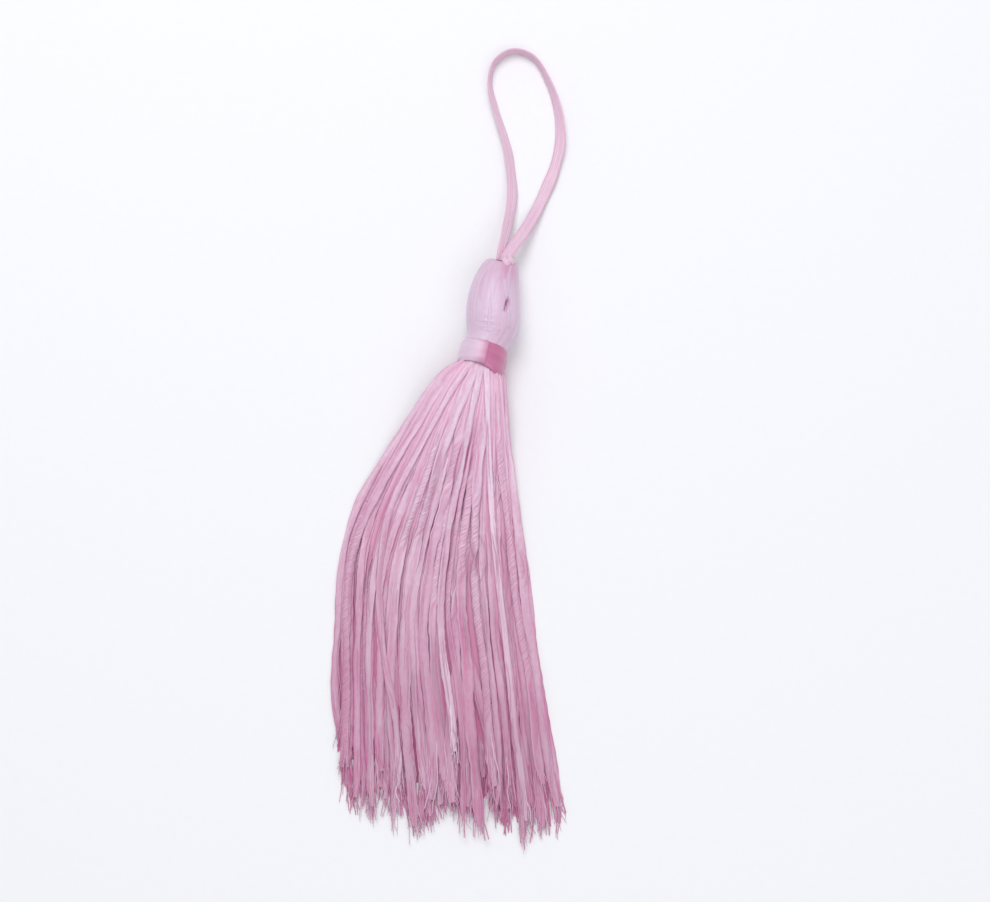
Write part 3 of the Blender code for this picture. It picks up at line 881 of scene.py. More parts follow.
# The camera's place in metres, the way it looks in degrees, its lens and sensor in millimetres
# and the nearest and furthest that it sees, in metres.
CAMERA_PLACE = (0.0243, -0.1039, 0.3259)
CAMERA_AZIMUTH = 13.0
CAMERA_ELEVATION = 75.0
CAMERA_LENS = 85.0
CAMERA_SENSOR = 36.0
CAMERA_SEES = (0.01, 10.0)


def make_camera():
    """The camera over the tassel, at the angle that shows its face from above and a little in
    front of the skirt's end."""
    data = bpy.data.cameras.new("camera")
    data.lens = CAMERA_LENS
    data.sensor_width = CAMERA_SENSOR
    data.clip_start, data.clip_end = CAMERA_SEES
    azimuth, elevation = np.radians(CAMERA_AZIMUTH), np.radians(CAMERA_ELEVATION)
    level_ahead = np.array([-np.sin(azimuth), np.cos(azimuth), 0.0])
    ahead = level_ahead * np.cos(elevation) - np.array([0.0, 0.0, np.sin(elevation)])
    right = np.array([np.cos(azimuth), np.sin(azimuth), 0.0])
    above = np.cross(right, ahead)
    made = bpy.data.objects.new("camera", data)
    bpy.context.scene.collection.objects.link(made)
    turn = Matrix(np.column_stack([right, above, -ahead]).tolist()).to_4x4()
    made.matrix_world = Matrix.Translation(CAMERA_PLACE) @ turn
    bpy.context.scene.camera = made


def loop_route():
    """The cord's middle and its tilt: the route's table on a smooth curve, raised by half the
    thickness and by as much more as the tilted width needs."""
    rows = np.column_stack([column(LOOP_ROUTE, name) for name in ("x", "y", "under", "tilt")])
    route = smooth_curve(rows, CORD_STEP)
    tilt = np.radians(route[:, 3])
    under = np.maximum(route[:, 2], CORD_CLEARANCE)
    half_flat = 0.5 * (CORD_WIDTH - CORD_THICKNESS)
    height = under + 0.5 * CORD_THICKNESS + half_flat * np.sin(tilt)
    return np.column_stack([route[:, :2], height]), tilt


def make_loop(finish):
    """The hanging loop: a flat soft cord carried along its route, its width tilted as the route
    says. Across its face the height is that of a flattened oval, less low cosine ribs and less
    a bell along the middle, which is the fold line."""
    path, tilt = loop_route()
    ahead = tangents(path)
    level = unit(np.column_stack([-ahead[:, 1], ahead[:, 0], np.zeros(len(path))]))
    above = np.cross(ahead, level)
    side = np.cos(tilt)[:, None] * level + np.sin(tilt)[:, None] * above
    up = np.cross(ahead, side)
    along = np.arange(len(path)) * CORD_STEP
    random = np.random.default_rng(SEEDS["cord"])
    wider = CORD_UNEVEN["width"] * soft_noise(random, along, CORD_UNEVEN["width_length"])
    thicker = CORD_UNEVEN["thickness"] * soft_noise(random, along, CORD_UNEVEN["thickness_length"])
    half_width = 0.5 * CORD_WIDTH * (1.0 + wider)
    half_thickness = CORD_FLATNESS * CORD_THICKNESS * (1.0 + thicker)
    share = np.linspace(-1.0, 1.0, CORD_SIDE_POINTS)
    ribs = CORD_RIB["height"] * np.cos(CORD_RIB["count"] * np.pi * share)
    fold = CORD_FOLD["depth"] * np.exp(-((share / CORD_FOLD["width"]) ** 2))
    face = (1.0 - ribs - fold) * np.sqrt(1.0 - np.abs(share) ** 5)
    across = half_width[:, None] * np.concatenate([share[:0:-1], share[:-1]])
    raised = half_thickness[:, None] * np.concatenate([face[:0:-1], -face[:-1]])
    rings = held_up(sweep(path, side, up, across, raised))
    tube = {"rings": rings, "along": along, "tint": CORD_TINT}
    return surface("loop_cord", [tube], finish), path


# ---------------------------------------------------------------- skirt


def root_places():
    """The strands' roots, in staggered rows across the disc, lowest row first."""
    places = []
    rows = int(ROOT_RADIUS / ROW_PITCH)
    for row in range(-rows, rows + 1):
        height = row * ROW_PITCH
        half_width = np.sqrt(ROOT_RADIUS**2 - height**2)
        shift = 0.5 * (row % 2)
        columns = int(half_width / COLUMN_PITCH + 1)
        offsets = (np.arange(-columns, columns + 1) + shift) * COLUMN_PITCH
        for x in offsets[abs(offsets) < half_width]:
            raised = AXIS_HEIGHT + ROOT_SPREAD * height
            places.append({"x": ROOT_SPREAD * x, "height": raised, "across": x / half_width})
    return places


def share_fan(strands):
    """Give each strand its share of the fan, from -1 at the left edge to 1 at the right: each
    layer is spread evenly over the fan, in the order of its roots, and a little to one side of
    the layer below."""
    for layer, shift in zip(np.array_split(np.arange(len(strands)), LAYERS), LAYER_SHIFTS):
        order = sorted(layer, key=lambda index: strands[index]["across"])
        for rank, index in enumerate(order):
            strands[index]["share"] = 2.0 * (rank + 0.5 + shift) / len(order) - 1.0


def strand_list():
    """Each strand's root, length and the small turns that set it apart, lowest root first."""
    random = np.random.default_rng(SEEDS["yarns"])
    strands = root_places()
    share_fan(strands)
    for strand in strands:
        extra = np.clip(random.normal(0.0, LENGTH_SPREAD), MOST_SHORTER, MOST_LONGER)
        strand["length"] = SKIRT_LENGTH + extra
        strand["wander"] = WANDER * np.clip(random.normal(), -2.0, 2.0)
        strand["wave"] = WAVE * random.uniform(*WAVE_SPREAD)
        strand["wave_start"] = WAVE_SHIFT * strand["share"] + random.normal(0.0, WAVE_START_SPREAD)
        strand["stray"] = 0.0
    for index in len(strands) - 1 - random.choice(TOP_STRANDS, STRAY_COUNT, replace=False):
        strands[index]["stray"] = STRAY * random.choice([-1.0, 1.0])
    for row in PALE_YARNS:
        top = strands[-TOP_STRANDS:]
        nearest = min(top, key=lambda strand: abs(strand["share"] - row["share"]))
        nearest["length"] = row["length"]
        nearest["pale"] = row
    return strands


def heading(strand, distance):
    """Degrees from -Y towards +X: the flare at the neck, larger on the left where the yarns
    swell over the ribbon's edge, the strand's share of the fan, the sweep of the whole skirt,
    and the strand's own wander, wave and stray."""
    side = strand["x"] / (ROOT_SPREAD * ROOT_RADIUS)
    flare = (FLARE_RIGHT if side > 0.0 else FLARE_LEFT) * side * np.exp(-distance / FLARE_FADE)
    over = DRAWN_BACK["over"]
    back = smooth_step((distance - DRAWN_BACK["from"]) / over)
    back = back * smooth_step((DRAWN_BACK["to"] + over - distance) / over)
    flare = flare - DRAWN_BACK["degrees"] * min(side, 0.0) * back
    fan = along_table(SKIRT_HEADINGS, "fan", distance)
    sweep_right = along_table(SKIRT_HEADINGS, "sweep", distance)
    loose = smooth_step((distance - ROWS_END) / LOOSEN_OVER)
    wander = strand["wander"] * loose * np.exp(-distance / WANDER_FADE)
    turns = 2.0 * np.pi * distance / WAVE_LENGTH + strand["wave_start"]
    wave = strand["wave"] * loose * np.sin(turns)
    stray = strand["stray"] * smooth_step((distance - STRAY_FROM) / STRAY_OVER)
    return flare + strand["share"] * fan + sweep_right + wander + wave + stray


def drooped(root, distance):
    """The height at a distance of what leaves the neck at the root's height and sinks to the
    surface, over a longer reach the higher it starts."""
    reach = DROOP_REACH + DROOP_REACH_PER_HEIGHT * root
    return root * (1.0 - smooth_step((distance - ROWS_END + 1.0) / reach))


def wanted_height(strand, distance):
    """The underside of a strand with nothing under it: it bulges a little where it comes out
    of the neck, then droops to the surface."""
    thickness = along_table(FLOSS_SECTIONS, "thickness", 0.0)
    droop = drooped(strand["height"] - 0.5 * thickness, distance)
    around = np.exp(-(((distance - BULGE_AT) / BULGE_SPREAD) ** 2))
    bulge = BULGE * (strand["height"] - AXIS_HEIGHT) * around * smooth_step(distance / BULGE_AT)
    return droop + bulge


def floss_character(strands):
    """What sets each floss apart to the eye: small wiggles, a stretch across its neighbours, a
    turn aside by its end, roll, width, twist and colour. About a third of the yarns are still
    twisted for a stretch, most of them in the lower layers and in a patch of the upper ones. The
    pale yarns lie flatter than the rest."""
    random = np.random.default_rng(SEEDS["character"])
    splay = np.random.default_rng(SEEDS["splay"]).normal(0.0, END_SPLAY, len(strands))
    for rank, strand in enumerate(strands):
        depth = 1.0 - rank / len(strands)
        distance = np.arange(0.0, strand["length"] + DRAPE_STEP, DRAPE_STEP)
        strand["distance"] = distance
        loose = smooth_step((distance - LOOSE_FROM) / LOOSE_OVER)
        wiggles = [row["size"] * soft_noise(random, distance, row["length"]) for row in WIGGLES]
        strand["wiggle"] = loose * (wiggles[0] + wiggles[1])
        aside = (distance - random.uniform(*CROSSING["from"])) / random.uniform(*CROSSING["over"])
        there_and_back = np.sin(2.0 * np.pi * np.clip(aside, 0.0, 1.0))
        crosses = CROSSING["degrees"] * random.normal() * (random.uniform() < CROSSING["share"])
        by_end = smooth_step((distance - strand["length"] + END_SPLAY_OVER) / END_SPLAY_OVER)
        strand["wiggle"] += crosses * there_and_back + splay[rank] * by_end
        tilt = random.normal(0.0, TILT["spread"])
        tilt = tilt + TILT["wave"] * soft_noise(random, distance, TILT["length"])
        strand["roll"] = loose * np.radians(tilt)
        turn_at = random.uniform(*TURNING_OVER["from"])
        turn_over = random.uniform(*TURNING_OVER["over"])
        turns_over = random.uniform() < TURNING_OVER["share"]
        turned = smooth_step((distance - turn_at) / turn_over) * turns_over
        strand["roll"] = strand["roll"] + np.pi * turned
        strand["narrow"] = np.sin(np.pi * turned) ** 2
        wide = random.uniform(*FLOSS_SIZES)
        uneven = UNEVEN["long_size"] * soft_noise(random, distance, UNEVEN["long"])
        uneven += UNEVEN["short_size"] * loose * soft_noise(random, distance, UNEVEN["short"])
        strand["size"] = wide * (1.0 + uneven)
        # Painted shade: the lower layers, which show under the others, are deeper pink.
        tint = FLOSS_TINT["shade_by_depth"] * depth + random.uniform(*FLOSS_TINT["spread"])
        strand["tint"] = np.clip(tint, 0.0, 1.0)
        off_patch = abs(strand["share"] - TWISTED_PATCH["share"])
        in_patch = depth < TWISTED_PATCH["depth"] and off_patch < TWISTED_PATCH["reach"]
        likely = TWISTED["likely"] + TWISTED["likelier_low"] * depth
        if in_patch:
            likely = TWISTED_PATCH["likely"]
        twisted = random.uniform() < likely and "pale" not in strand
        start = random.uniform(*TWISTED["from"])
        run = random.uniform(*TWISTED["run"])
        if in_patch:
            start = random.uniform(*TWISTED_PATCH["from"])
            run = random.uniform(*TWISTED_PATCH["run"])
        winds = smooth_step((distance - start) / TWIST_OVER)
        unwinds = smooth_step((start + run - distance) / TWIST_OVER)
        strand["twisted"] = bool(twisted)
        strand["twist"] = winds * unwinds * twisted
        # Painted shade: the lowest yarns are deeper pink by the cut end.
        strand["paler"] = -END_SHADE * depth * by_end
        strand["raised"] = 0.0
        if "pale" in strand:
            row = strand["pale"]
            from_here = smooth_step((distance - row["from"]) / PALER_OVER)
            strand["size"] = row["size"] * (1.0 + uneven)
            strand["roll"] = PALE_TILT * strand["roll"]
            strand["narrow"] = np.zeros(len(distance))
            strand["paler"] = row["paler"] * from_here
            strand["raised"] = row["raised"] * from_here
        strand["lead"] = random.uniform(*TWIST_LEAD)
        drift = RIDGE_DRIFT["size"]
        strand["ridges"] = [
            {"count": count, "start": drift * soft_noise(random, distance, RIDGE_DRIFT["length"])}
            for count in random.uniform(*RIDGE_COUNTS)
        ]


def strand_path(strand):
    """The strand's middle seen from above and its heading: the heading with its wiggle followed
    from the root by adding up small steps."""
    distance = strand["distance"]
    angle = np.radians(heading(strand, distance) + strand["wiggle"])
    middle = 0.5 * (angle[1:] + angle[:-1])
    x = strand["x"] + np.concatenate([[0.0], np.cumsum(np.sin(middle) * DRAPE_STEP)])
    y = NECK_END - np.concatenate([[0.0], np.cumsum(np.cos(middle) * DRAPE_STEP)])
    return x, y, angle


def half_sizes(strand):
    """Half width and half thickness: the table's, times the strand's own size, rounder where it
    is twisted and where it turns over."""
    distance = strand["distance"]
    width = along_table(FLOSS_SECTIONS, "width", distance) * strand["size"]
    thickness = along_table(FLOSS_SECTIONS, "thickness", distance)
    round_size = np.sqrt(width * thickness) * ROUNDED["size"]
    twisted, turning = ROUNDED["twisted"] * strand["twist"], ROUNDED["turning"] * strand["narrow"]
    rounder = np.maximum(twisted, turning)
    width = width + (ROUNDED["width"] * round_size - width) * rounder
    thickness = thickness + (ROUNDED["thickness"] * round_size - thickness) * rounder
    return 0.5 * width, 0.5 * thickness


def pile_cells(x, y):
    """The cells of the pile that places lie in."""
    column_index = ((x - PILE_LOW[0]) / PILE_CELL).astype(int)
    row_index = ((y - PILE_LOW[1]) / PILE_CELL).astype(int)
    return column_index, row_index


def drape_strand(strand, pile):
    """The strand laid on the pile. Its tilted oval section has the spread A = a2 c2 + b2 s2, the
    height B = a2 s2 + b2 c2 and the slant C = (a2 - b2) s c, with a and b its half sizes and s
    and c the roll's sine and cosine, so that at an offset d its underside lies at
    d C / A - sqrt(B - C2 / A) sqrt(1 - d2 / A). The middle is raised until that clears the pile,
    and smoothed as a stiff yarn would be. The pile then rises by less than the yarn's own
    height, because soft yarns sink into each other. The pale yarns stand a little above."""
    x, y, angle = strand_path(strand)
    distance = strand["distance"]
    half_width, half_thickness = half_sizes(strand)
    share = np.linspace(-DRAPE_EDGE, DRAPE_EDGE, DRAPE_POINTS)[:, None]
    look = LEAN["look"] * half_width
    left = pile[pile_cells(x - look * np.cos(angle), y - look * np.sin(angle))]
    right = pile[pile_cells(x + look * np.cos(angle), y + look * np.sin(angle))]
    slope = np.clip((right - left) / (2.0 * look), -LEAN["steepest"], LEAN["steepest"])
    lean = np.arctan(blur(slope, LEAN["reach"])) * smooth_step((distance - ROWS_END) / LEAN["over"])
    roll = strand["roll"] + LEAN["share"] * lean
    wide = (half_width * np.cos(roll)) ** 2 + (half_thickness * np.sin(roll)) ** 2
    tall = (half_width * np.sin(roll)) ** 2 + (half_thickness * np.cos(roll)) ** 2
    slant = (half_width**2 - half_thickness**2) * np.sin(roll) * np.cos(roll)
    offset = share * np.sqrt(wide)
    curve = np.sqrt(np.maximum(tall - slant**2 / wide, 0.0)) * np.sqrt(1.0 - share**2)
    tilt = offset * slant / wide
    cells = pile_cells(x + offset * np.cos(angle), y + offset * np.sin(angle))
    needed = (pile[cells] - (tilt - curve)).max(axis=0)
    floor = np.sqrt(tall) + LIE_CLEARANCE
    needed = np.where(distance < ROWS_END, floor, np.maximum(needed, floor))
    wanted = wanted_height(strand, distance) + np.sqrt(tall)
    height = np.maximum(wanted, needed)
    for _ in range(STIFF["rounds"]):
        height = np.maximum(blur(height, STIFF["reach"]), needed)
    height = np.maximum(blur(height, STIFF["last_reach"]), floor) + strand["raised"]
    np.maximum.at(pile, cells, height + tilt + curve - 2.0 * (1.0 - SINK) * half_thickness)
    strand["path"] = np.column_stack([x, y, height])
    strand["turn"] = roll
    strand["angle"] = angle


def at_stops(strand, stops):
    """The strand's path, heading, half width and half thickness at stops along it."""
    distance = strand["distance"]
    path = np.column_stack([np.interp(stops, distance, values) for values in strand["path"].T])
    angle = np.interp(stops, distance, strand["angle"])
    half_width, half_thickness = [np.interp(stops, distance, row) for row in half_sizes(strand)]
    return path, angle, half_width, half_thickness


def level_across(angle):
    """The level direction across a heading."""
    return np.column_stack([np.cos(angle), np.sin(angle), np.zeros(len(angle))])


def strand_tube(strand, step):
    """The floss as a tube: the oval section carried along its path, drawn back into the neck at
    the root and thinner towards the cut end. Low ridges, sines of the place across with a start
    that drifts along, part it into bundles of filaments, and a twisted stretch has helical
    dents between its plies instead."""
    distance = strand["distance"]
    end = strand["length"] - END_FRAY
    stops = np.arange(0.0, end - FLOSS_LAST_STOPS["before"], step)
    stops = np.concatenate([stops, [end - FLOSS_LAST_STOPS["step"], end]])
    path, angle, half_width, half_thickness = at_stops(strand, stops)
    roll = np.interp(stops, distance, strand["turn"])
    twist = np.interp(stops, distance, strand["twist"])
    taper = smooth_step((stops - end + FLOSS_TAPER["over"]) / FLOSS_TAPER["over"])
    half_width = half_width * (1.0 - FLOSS_TAPER["width"] * taper)
    half_thickness = half_thickness * (1.0 - FLOSS_TAPER["thickness"] * taper)
    neck = np.array([[path[0, 0], NECK_END + ROOT_INSIDE, path[0, 2]]])
    path = np.vstack([neck, path])
    values = (angle, roll, half_width, half_thickness, twist)
    angle, roll, half_width, half_thickness, twist = [np.append(row[:1], row) for row in values]
    stops = np.append(-ROOT_INSIDE, stops)
    ahead = tangents(path)
    level = level_across(angle)
    above = unit(np.cross(ahead, level))
    side = np.cos(roll)[:, None] * level + np.sin(roll)[:, None] * above
    up = np.cos(roll)[:, None] * above - np.sin(roll)[:, None] * level
    wound = np.concatenate([[0.0], np.cumsum(0.5 * (twist[1:] + twist[:-1]) * np.diff(stops))])
    uneven = TWIST_DRIFT * twist * np.interp(stops, distance, strand["ridges"][0]["start"])
    wound = 2.0 * np.pi * wound / strand["lead"] + uneven
    corner = circle(FLOSS_SIDES)
    angles = corner[None, :] + wound[:, None]
    across, raised = flat_oval(half_width, half_thickness, angles, FLOSS_SQUARENESS)
    ridge = 0.0
    for row in strand["ridges"]:
        start = np.interp(stops, distance, row["start"])[:, None]
        ridge = ridge + np.sin(np.pi * row["count"] * np.cos(angles) + start)
    raised = raised * (1.0 + RIDGE_HEIGHT * (1.0 - twist[:, None]) * ridge)
    plies = np.abs(np.cos(0.5 * PLIES * corner))[None, :]
    dent = 1.0 - PLY_DENT * twist[:, None] * (1.0 - plies)
    rings = held_up(sweep(path, side, up, across * dent, raised * dent), YARN_CLEARANCE)
    tint = strand["tint"] - np.interp(stops, distance, strand["paler"])
    return {"rings": rings, "along": stops, "tint": tint[:, None]}


def end_tufts(strand, random):
    """The yarn's frayed end: thin bundles of filaments that leave the yarn side by side, each at
    its own place, follow its tilt, spread apart and curl over the last stretch, and stop at
    different lengths."""
    distance = strand["distance"]
    tubes = []
    yarn_half_width = half_sizes(strand)[0][-1]
    share = np.linspace(0.0, 1.0, TUFT_POINTS)
    angles = np.broadcast_to(circle(TUFT_SIDES), (TUFT_POINTS, TUFT_SIDES))
    up = np.broadcast_to([0.0, 0.0, 1.0], (TUFT_POINTS, 3))
    offsets = (np.arange(TUFTS) + 0.5) / TUFTS * 2.0 - 1.0
    for offset in offsets + random.uniform(-TUFT_FAN["shuffled"], TUFT_FAN["shuffled"], TUFTS):
        run = TUFT_RUN["longest"] * random.uniform(*TUFT_RUN["shares"])
        begin = strand["length"] - END_FRAY - run
        end = strand["length"] + random.uniform(*TUFT_RUN["past"])
        stops = begin + (end - begin) * share
        path, angle, _, _ = at_stops(strand, stops)
        past = np.maximum(stops - distance[-1], 0.0)
        path[:, 0] += past * np.sin(angle)
        path[:, 1] -= past * np.cos(angle)
        fan = TUFT_FAN["within"] * offset * yarn_half_width * (1.0 + TUFT_FAN["wider"] * share**2)
        fan += random.normal(0.0, TUFT_FAN["stray"]) * share**2
        curl = random.normal(0.0, TUFT_CURL["size"]) * share
        fan += curl * np.sin(TUFT_CURL["turns"] * share + TUFT_CURL["start"] * random.uniform())
        level = level_across(angle)
        roll = np.interp(stops, distance, strand["turn"])
        path = path + (fan * np.cos(roll))[:, None] * level
        path[:, 2] += fan * np.sin(roll)
        path[:, 2] += random.uniform(0.0, TUFT_BOW) * np.sin(np.pi * share) - TUFT_DROOP * share**2
        half = yarn_half_width / TUFTS * random.uniform(*TUFT_HALF_SIZE["shares"])
        half = half * (1.0 - TUFT_HALF_SIZE["thinner"] * share)
        across, raised = flat_oval(half, TUFT_HALF_SIZE["flatness"] * half, angles, 1.0)
        rings = held_up(sweep(path, level, up, across, raised), YARN_CLEARANCE)
        # The tufts keep their yarn's painted shade by the cut end.
        tint = strand["tint"] - strand["paler"][-1] + random.uniform(*TUFT_SHADES)
        tubes.append({"rings": rings, "along": stops, "tint": tint})
    return tubes


def loose_filaments(strands, random):
    """Thin bundles of filaments that have come loose: each leaves its strand, bows up and to one
    side of it, and goes back in further on."""
    tubes = []
    share = np.linspace(0.0, 1.0, FILAMENT_POINTS)
    bow = np.sin(np.pi * share)
    angles = np.broadcast_to(circle(FILAMENT_SIDES), (FILAMENT_POINTS, FILAMENT_SIDES))
    up = np.broadcast_to([0.0, 0.0, 1.0], (FILAMENT_POINTS, 3))
    start_aside, most = FILAMENT_ASIDE["start"], FILAMENT_ASIDE["most"]
    for _ in range(FILAMENTS):
        strand = strands[int(len(strands) * random.uniform() ** FILAMENT_HIGHER)]
        run = random.uniform(*FILAMENT_RUN)
        last_start = strand["length"] - run - FILAMENT_BEFORE_END
        stops = random.uniform(FILAMENT_FROM, last_start) + run * share
        path, angle, half_width, half_thickness = at_stops(strand, stops)
        aside = random.uniform(-start_aside, start_aside) * half_width
        bowed = np.clip(random.standard_t(FILAMENT_ASIDE["freedom"]), -most, most)
        aside = aside + bowed * FILAMENT_ASIDE["bow"] * bow
        level = level_across(angle)
        path = path + aside[:, None] * level
        path[:, 2] += half_thickness * np.sqrt(np.maximum(1.0 - (aside / half_width) ** 2, 0.0))
        path[:, 2] += random.uniform(*FILAMENT_BOW) * bow - FILAMENT_SUNK
        half = random.uniform(*FILAMENT_HALF_SIZES) * (1.0 - FILAMENT_TAPER + FILAMENT_TAPER * bow)
        across, raised = flat_oval(half, half, angles, 1.0)
        rings = held_up(sweep(path, level, up, across, raised), YARN_CLEARANCE)
        tubes.append({"rings": rings, "along": stops, "tint": random.uniform(*FILAMENT_SHADES)})
    return tubes


def widened(pile, reach):
    """The highest top within a reach to the left and right, in cells."""
    padded = np.pad(pile, ((reach, reach), (0, 0)))
    return np.max([padded[shift : shift + len(pile)] for shift in range(2 * reach + 1)], axis=0)


def inner_floss(pile):
    """The mass of floss that the strands lie on: one tube as wide as the fan. Its top follows
    the tops of the strands, averaged over a few cells and lowered. Near the neck it follows the
    highest tops at a little less depth, so that the strands come out of it one by one. Ridges
    as of fine yarns run along it. Its underside rises from the surface to the round of the
    neck."""
    turns = np.linspace(0.0, 1.0, INNER_POINTS)
    stray = np.sin(INNER_STRAY["long"] * turns) * np.sin(INNER_STRAY["short"] * turns)
    shares = INNER_SPREAD * (2.0 * turns - 1.0) + INNER_STRAY["size"] * stray
    distance = np.arange(0.0, INNER_LENGTH, DRAPE_STEP)
    random = np.random.default_rng(SEEDS["inner"])
    lengths = random.uniform(INNER_SHORTEST, 1.0, INNER_YARNS + 1)
    lengths = np.interp(turns * INNER_YARNS, np.arange(INNER_YARNS + 1), lengths)
    x, y = np.empty((2, len(distance), len(shares)))
    for index, share in enumerate(shares):
        middle = {
            "x": ROOT_SPREAD * ROOT_RADIUS * share,
            "share": share,
            "wander": 0.0,
            "stray": 0.0,
            "wave": WAVE,
            "wave_start": WAVE_SHIFT * share,
            "wiggle": 0.0,
            "distance": distance,
        }
        column_x, column_y, _ = strand_path(middle)
        stops = distance * lengths[index]
        x[:, index] = np.interp(stops, distance, column_x)
        y[:, index] = np.interp(stops, distance, column_y)
    cells = pile_cells(x, y)
    near_neck = 1.0 - smooth_step((distance - ROWS_END) / INNER_FADE)[:, None]
    tops = (1.0 - near_neck) * pile[cells] + near_neck * widened(pile, INNER_TOP_REACH)[cells]
    tops = np.apply_along_axis(blur, 1, tops, INNER_SMOOTH_ACROSS)
    tops = np.apply_along_axis(blur, 0, tops, INNER_SMOOTH_ALONG)
    keep = np.arange(0, len(distance), INNER_KEEP)
    x, y, tops, distance = x[keep], y[keep], tops[keep], distance[keep]
    round_share = np.sqrt(1.0 - (2.0 * turns - 1.0) ** 2)
    root = AXIS_HEIGHT - INNER_ROOT_RADIUS * round_share[None, :]
    low = INNER_CLEARANCE + drooped(root, distance[:, None])
    depth = along_table(INNER_DEPTHS, "depth", distance)[:, None]
    groove = INNER_RIDGE * np.abs(np.cos(np.pi * INNER_YARNS * turns)) ** 4
    top = tops - depth - groove - INNER_EDGE_DROP * (np.abs(shares) ** 7)
    top = np.maximum(top, low + INNER_LEAST)
    close = smooth_step((INNER_LENGTH - distance) / INNER_CLOSES_OVER)
    close = np.maximum(close, INNER_CLOSED)[:, None]
    upper = np.stack([x, y, low + (top - low) * close], axis=-1)
    lower = np.stack([x, y, low], axis=-1)
    rings = np.concatenate([lower, upper[:, ::-1]], axis=1)
    # Painted shade: the tint deepens further from the root, where this floss shows between the
    # strands.
    tint = along_table(INNER_DEPTHS, "tint", distance)[:, None]
    return {"rings": rings, "along": distance, "tint": tint, "wraps": INNER_YARNS}


def make_skirt(finish, twisted_finish, inner_finish):
    """All the floss, lowest first and the pale yarns last, each draped over those below it."""
    strands = strand_list()
    floss_character(strands)
    size = np.ceil((PILE_HIGH - PILE_LOW) / PILE_CELL).astype(int)
    pile = np.zeros(size)
    for strand in sorted(strands, key=lambda strand: "pale" in strand):
        drape_strand(strand, pile)
    flat = [strand_tube(strand, FLOSS_STEP) for strand in strands if not strand["twisted"]]
    twisted = [strand_tube(strand, TWIST_STEP) for strand in strands if strand["twisted"]]
    inner = inner_floss(pile)
    random = np.random.default_rng(SEEDS["ends"])
    ends = [tuft for strand in strands for tuft in end_tufts(strand, random)]
    return [
        surface("skirt_floss_low", flat[: len(flat) // 2], finish),
        surface("skirt_floss_high", flat[len(flat) // 2 :], finish),
        surface("skirt_twisted_low", twisted[: len(twisted) // 2], twisted_finish),
        surface("skirt_twisted_high", twisted[len(twisted) // 2 :], twisted_finish),
        surface("skirt_cut_ends", ends, finish),
        surface("skirt_inner_floss", [inner], inner_finish),
        surface("skirt_loose_filaments", loose_filaments(strands, random), finish),
    ]


# ---------------------------------------------------------------- head


def head_profile():
    """The head's outline as a smooth curve of distance along, radius and shift, the direction
    outwards from it and the length along it."""
    rows = np.column_stack([column(HEAD_OUTLINE, name) for name in ("along", "radius", "shift")])
    curve = smooth_curve(rows, HEAD_STEP)
    ahead = unit(np.gradient(curve[:, :2], axis=0))
    outward = np.column_stack([ahead[:, 1], -ahead[:, 0]])
    steps = np.linalg.norm(np.diff(curve[:, :2], axis=0), axis=1)
    return curve, outward, np.concatenate([[0.0], np.cumsum(steps)])


def round_axis(along, radius, angle, shift=0.0):
    """A point at a distance along the head's axis, and at a radius and an angle round it."""
    x, y, z = shift + radius * np.cos(angle), along, AXIS_HEIGHT + radius * np.sin(angle)
    return np.stack(np.broadcast_arrays(x, y, z), axis=-1)


def gap_share(along, radius, turned):
    """How far a point of the head lies in the gap between its yarns, from 0 to 1: a bell across
    the gap's line and a flatter one along it."""
    aside = turned - np.radians(HEAD_GAP["angle"] + HEAD_GAP["turn"] * (along - HEAD_GAP["along"]))
    bell = np.exp(-((radius * aside / HEAD_GAP["width"]) ** 2))
    return bell * np.exp(-(((along - HEAD_GAP["along"]) / HEAD_GAP["reach"]) ** 4))


def facing_up(along):
    """How much the head's upper side lies back by the mouth, which faces up a little: a bell
    along the axis, as a share of the height over the axis."""
    bell = np.exp(-(((along - MOUTH_TILT["along"]) / MOUTH_TILT["fade"]) ** 2))
    return MOUTH_TILT["slope"] * bell


def head_yarn(profile, angle, lift, half_width, half_thickness, roll, random, tint):
    """One flat yarn that follows the head's outline at an angle that may change along it. Low
    ridges part it into bundles of filaments, as in the skirt. It gives way at the head's gap,
    and leans back by the mouth."""
    curve, outward, length = profile
    half_thickness = np.full(len(curve), half_thickness)
    angles = np.broadcast_to(circle(HEAD_YARN_SIDES), (len(curve), HEAD_YARN_SIDES))
    across, raised = flat_oval(half_width, half_thickness, angles, HEAD_YARN_SQUARENESS)
    start = soft_noise(random, length, HEAD_YARN_RIDGE["length"])[:, None]
    count = random.uniform(*HEAD_YARN_RIDGE["counts"])
    ridge = np.sin(np.pi * count * np.cos(angles) + start)
    raised = raised * (1.0 + HEAD_YARN_RIDGE["height"] * ridge)
    across, raised = (
        across * np.cos(roll)[:, None] - raised * np.sin(roll)[:, None],
        across * np.sin(roll)[:, None] + raised * np.cos(roll)[:, None],
    )
    centre = curve[:, :2] + outward * (lift - half_thickness)[:, None]
    along = centre[:, 0:1] + outward[:, 0:1] * raised
    radius = centre[:, 1:2] + outward[:, 1:2] * raised
    turned = angle[:, None] + across / np.maximum(centre[:, 1:2], HEAD_CORE["least"])
    gap = gap_share(along, radius, turned)
    radius = radius - HEAD_GAP["depth"] * gap
    leant = along - facing_up(along) * radius * np.sin(turned)
    rings = held_up(round_axis(leant, radius, turned, curve[:, 2:3]))
    # Points in the gap are deeper pink: painted shade.
    return {"rings": rings, "along": length, "tint": tint[:, None] + HEAD_GAP["tint"] * gap}


